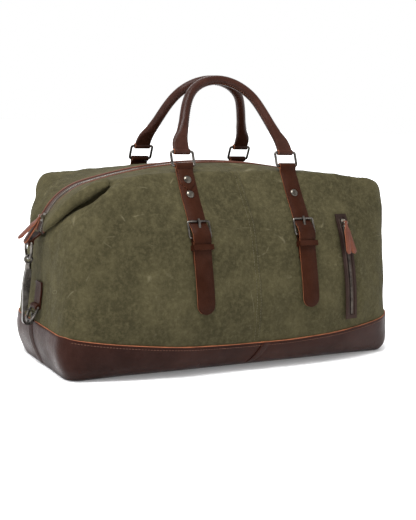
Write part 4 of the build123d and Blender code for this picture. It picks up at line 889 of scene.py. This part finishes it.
for side_name, side_y in (("front", -1), ("back", 1)):
    origin = np.array([0.0, side_y * UPPER_BAR[0], UPPER_BAR[1]])
    up = np.array([0.0, -side_y * sin(HANDLE_LEAN), cos(HANDLE_LEAN)])
    out = np.cross([1.0, 0.0, 0.0], up)
    line = smooth_line(PATH, HANDLE_COUNT)
    runs = run_along(np.array(PATH))
    sizes = np.array([np.interp(np.linspace(0, runs[-1], HANDLE_COUNT), runs, np.array(SIZES)[:, k])
                      for k in (0, 1)]).T
    centres = origin + line[:, :1] * np.array([1.0, 0.0, 0.0]) + line[:, 1:] * up
    tangent = unit(np.gradient(centres, axis=0))
    inward = unit(np.cross(tangent, out))
    build = Builder()
    build.tube(centres, np.tile(out, (HANDLE_COUNT, 1)), inward, [round_profile(a, b) for a, b in sizes])
    for side_x in (-1, 1):      # the leather rolled round the ring's upper bar
        verts = []
        for x, r in ((-13.0, 2.15), (-13.0, 4.2), (-12.4, 4.5), (12.4, 4.5), (13.0, 4.2), (13.0, 2.15)):
            for t in round_angles(24):
                around = up * r * cos(t) + out * r * sin(t)
                verts.append(origin + np.array([side_x * STRAP_X + x, 0, 0]) + around)
        faces = grid_faces(6, 24, True)
        faces += [(120 + k, 120 + (k + 1) % 24, (k + 1) % 24, k) for k in range(24)]
        build.add(verts, faces, [1] * 24 + [0] * 72 + [1] * 24 + [0] * 24)
    handle = build.piece(f"rolled_handle_{side_name}", [HANDLE_MAT, EDGE_MAT], f"{side_name}_handle")
    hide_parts(f"handle_{side_name}")
    middle = slice(22, HANDLE_COUNT - 22)
    faces_in = np.sum(inward * (origin - centres + up * 40), axis=1)[:, None] > 0
    towards = np.where(faces_in, inward, -inward)
    stitches(f"handle_stitching_{side_name}",
             [(centres[middle] + towards[middle] * 7.3 + out * 2.0, towards[middle])], THREAD_MAT,
             body=f"{side_name}_handle", pitch=4.2, length=3.0)

# --- zips ---
arc_angles = np.radians(np.linspace(10.5, 76, 50))
left_arc = [(-ZIP_ARC_X - ZIP_ARC * cos(a), ZIP_ARC_Z + ZIP_ARC * sin(a)) for a in arc_angles]
top_arc = [(x, float(zip_height(x, 0.0))) for x in np.linspace(-216.5, 216.5, 120)][1:-1]
zip_line = np.array(left_arc + top_arc + [(-x, z) for x, z in reversed(left_arc)])
zip_path = resample(np.column_stack([zip_line[:, 0], np.zeros(len(zip_line)), zip_line[:, 1]]), 2.7)
zip_along = unit(np.gradient(zip_path, axis=0))
zip_out = unit(np.cross(zip_along, [0.0, -1.0, 0.0]))
zip_out = np.where(zip_out[:, 2:] < 0, -zip_out, zip_out)


def tooth(build, centre, along, out, across, length=0.62, height=1.25, reach=(-0.8, 2.6)):
    """One moulded tooth: a tapered block whose head reaches past the middle."""
    verts = []
    for y, scale in ((reach[0], 0.72), (reach[0] + 0.9, 1.0), (reach[1], 0.8)):
        for a, b in ((-1, -1), (1, -1), (1, 1), (-1, 1)):
            verts.append(centre + across * y + along * a * length * scale + out * b * height * scale)
    build.add(verts, grid_faces(3, 4, True) + [(3, 2, 1, 0), (8, 9, 10, 11)])


for side_name, side_y in (("front", -1), ("back", 1)):
    build = Builder()
    across_y = np.array([0.0, side_y, 0.0])
    for k in range(len(zip_path) - 1):
        share = 0.5 if side_y > 0 else 0.0
        centre = zip_path[k] * (1 - share) + zip_path[k + 1] * share
        tooth(build, centre, zip_along[k], zip_out[k], across_y)
    teeth = build.piece(f"zip_teeth_{side_name}", [TEETH_MAT], "bag", smooth=False)
    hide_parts(f"main_zip_teeth_{side_name}")
    build = Builder()
    bead = np.array([(1.6 * cos(t), 1.6 * sin(t)) for t in round_angles(12)])
    lay = zip_path + zip_out * 0.9 + across_y * 14.7
    build.tube(lay, zip_out, np.tile(across_y, (len(lay), 1)), [bead] * len(lay))
    trim = build.piece(f"zip_piping_{side_name}", [TRIM_MAT], "bag")
    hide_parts(f"main_zip_trim_{side_name}")


def puller(name, body, node, eye, down, wide, out, pin, leaves, length):
    """Leather puller of two leaves hanging from an eye: each leaf is (sideways, outwards, half width)."""
    build = Builder()
    eye, down, wide, out = (np.asarray(v, float) for v in (eye, down, wide, out))
    for sideways, outwards, half in leaves:
        share = np.linspace(0, 1, 40)
        run = share * length
        bend = share ** 1.4
        centres = (eye + down * (run + pin)[:, None] + wide * (sideways * bend)[:, None]
                   + out * (np.sign(outwards + 0.01) * 1.0 + outwards * bend)[:, None])
        widths = np.interp(run, [0, 6, 14, length - half, length], [2.6, 2.6, half, half, half])
        d = np.clip(length - run, 0.03, half)
        widths = np.where(length - run < half, np.sqrt(half ** 2 - (half - d) ** 2), widths)
        tangent = unit(np.gradient(centres, axis=0))
        across_leaf = unit(wide - tangent * (tangent @ wide)[:, None])
        normal_leaf = np.cross(across_leaf, tangent)
        sections = [profile(w, 0.85, 0.1, 0.3) for w in widths]
        build.tube(centres, normal_leaf, across_leaf, sections, 0, True, 1, (2, 7))
    verts = []
    for x, r in ((-2.7, pin + 0.1), (-2.7, pin + 1.6), (2.7, pin + 1.6), (2.7, pin + 0.1)):
        for t in round_angles(20):
            verts.append(eye + wide * x + down * r * cos(t) + out * r * sin(t))
    faces = grid_faces(4, 20, True) + [(60 + k, 60 + (k + 1) % 20, (k + 1) % 20, k) for k in range(20)]
    build.add(verts, faces)
    made = build.piece(name, [PULLER_MAT, EDGE_MAT], body)
    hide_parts(node)


drop = radians(38.0)
puller("main_puller", "zip_puller", "main_zip_puller", JOINT_AT["zip_puller_swing"],
       (-sin(drop), 0, -cos(drop)), (0.0, -1.0, 0.0), (-cos(drop), 0.0, sin(drop)), 1.2,
       ((0.0, 6.0, 7.5), (0.0, -3.5, 7.5)), 46.0)
pocket_axis = JOINT_AXIS["pocket_slider_travel"]
pocket_out = np.array([pocket_axis[1], -pocket_axis[0], 0.0])
hang = unit(np.array([0.0, 0.0, -1.0]) + pocket_out * 0.37)
leaf_out = unit(np.cross(pocket_axis, hang))
leaf_out = leaf_out if leaf_out[1] < 0 else -leaf_out
puller("pocket_puller", "pocket_puller", "pocket_zip_puller", JOINT_AT["pocket_puller_swing"], hang,
       pocket_axis, leaf_out, 1.2, ((-7.0, 0.6, 5.2), (7.0, 0.2, 5.2)), 50.0)
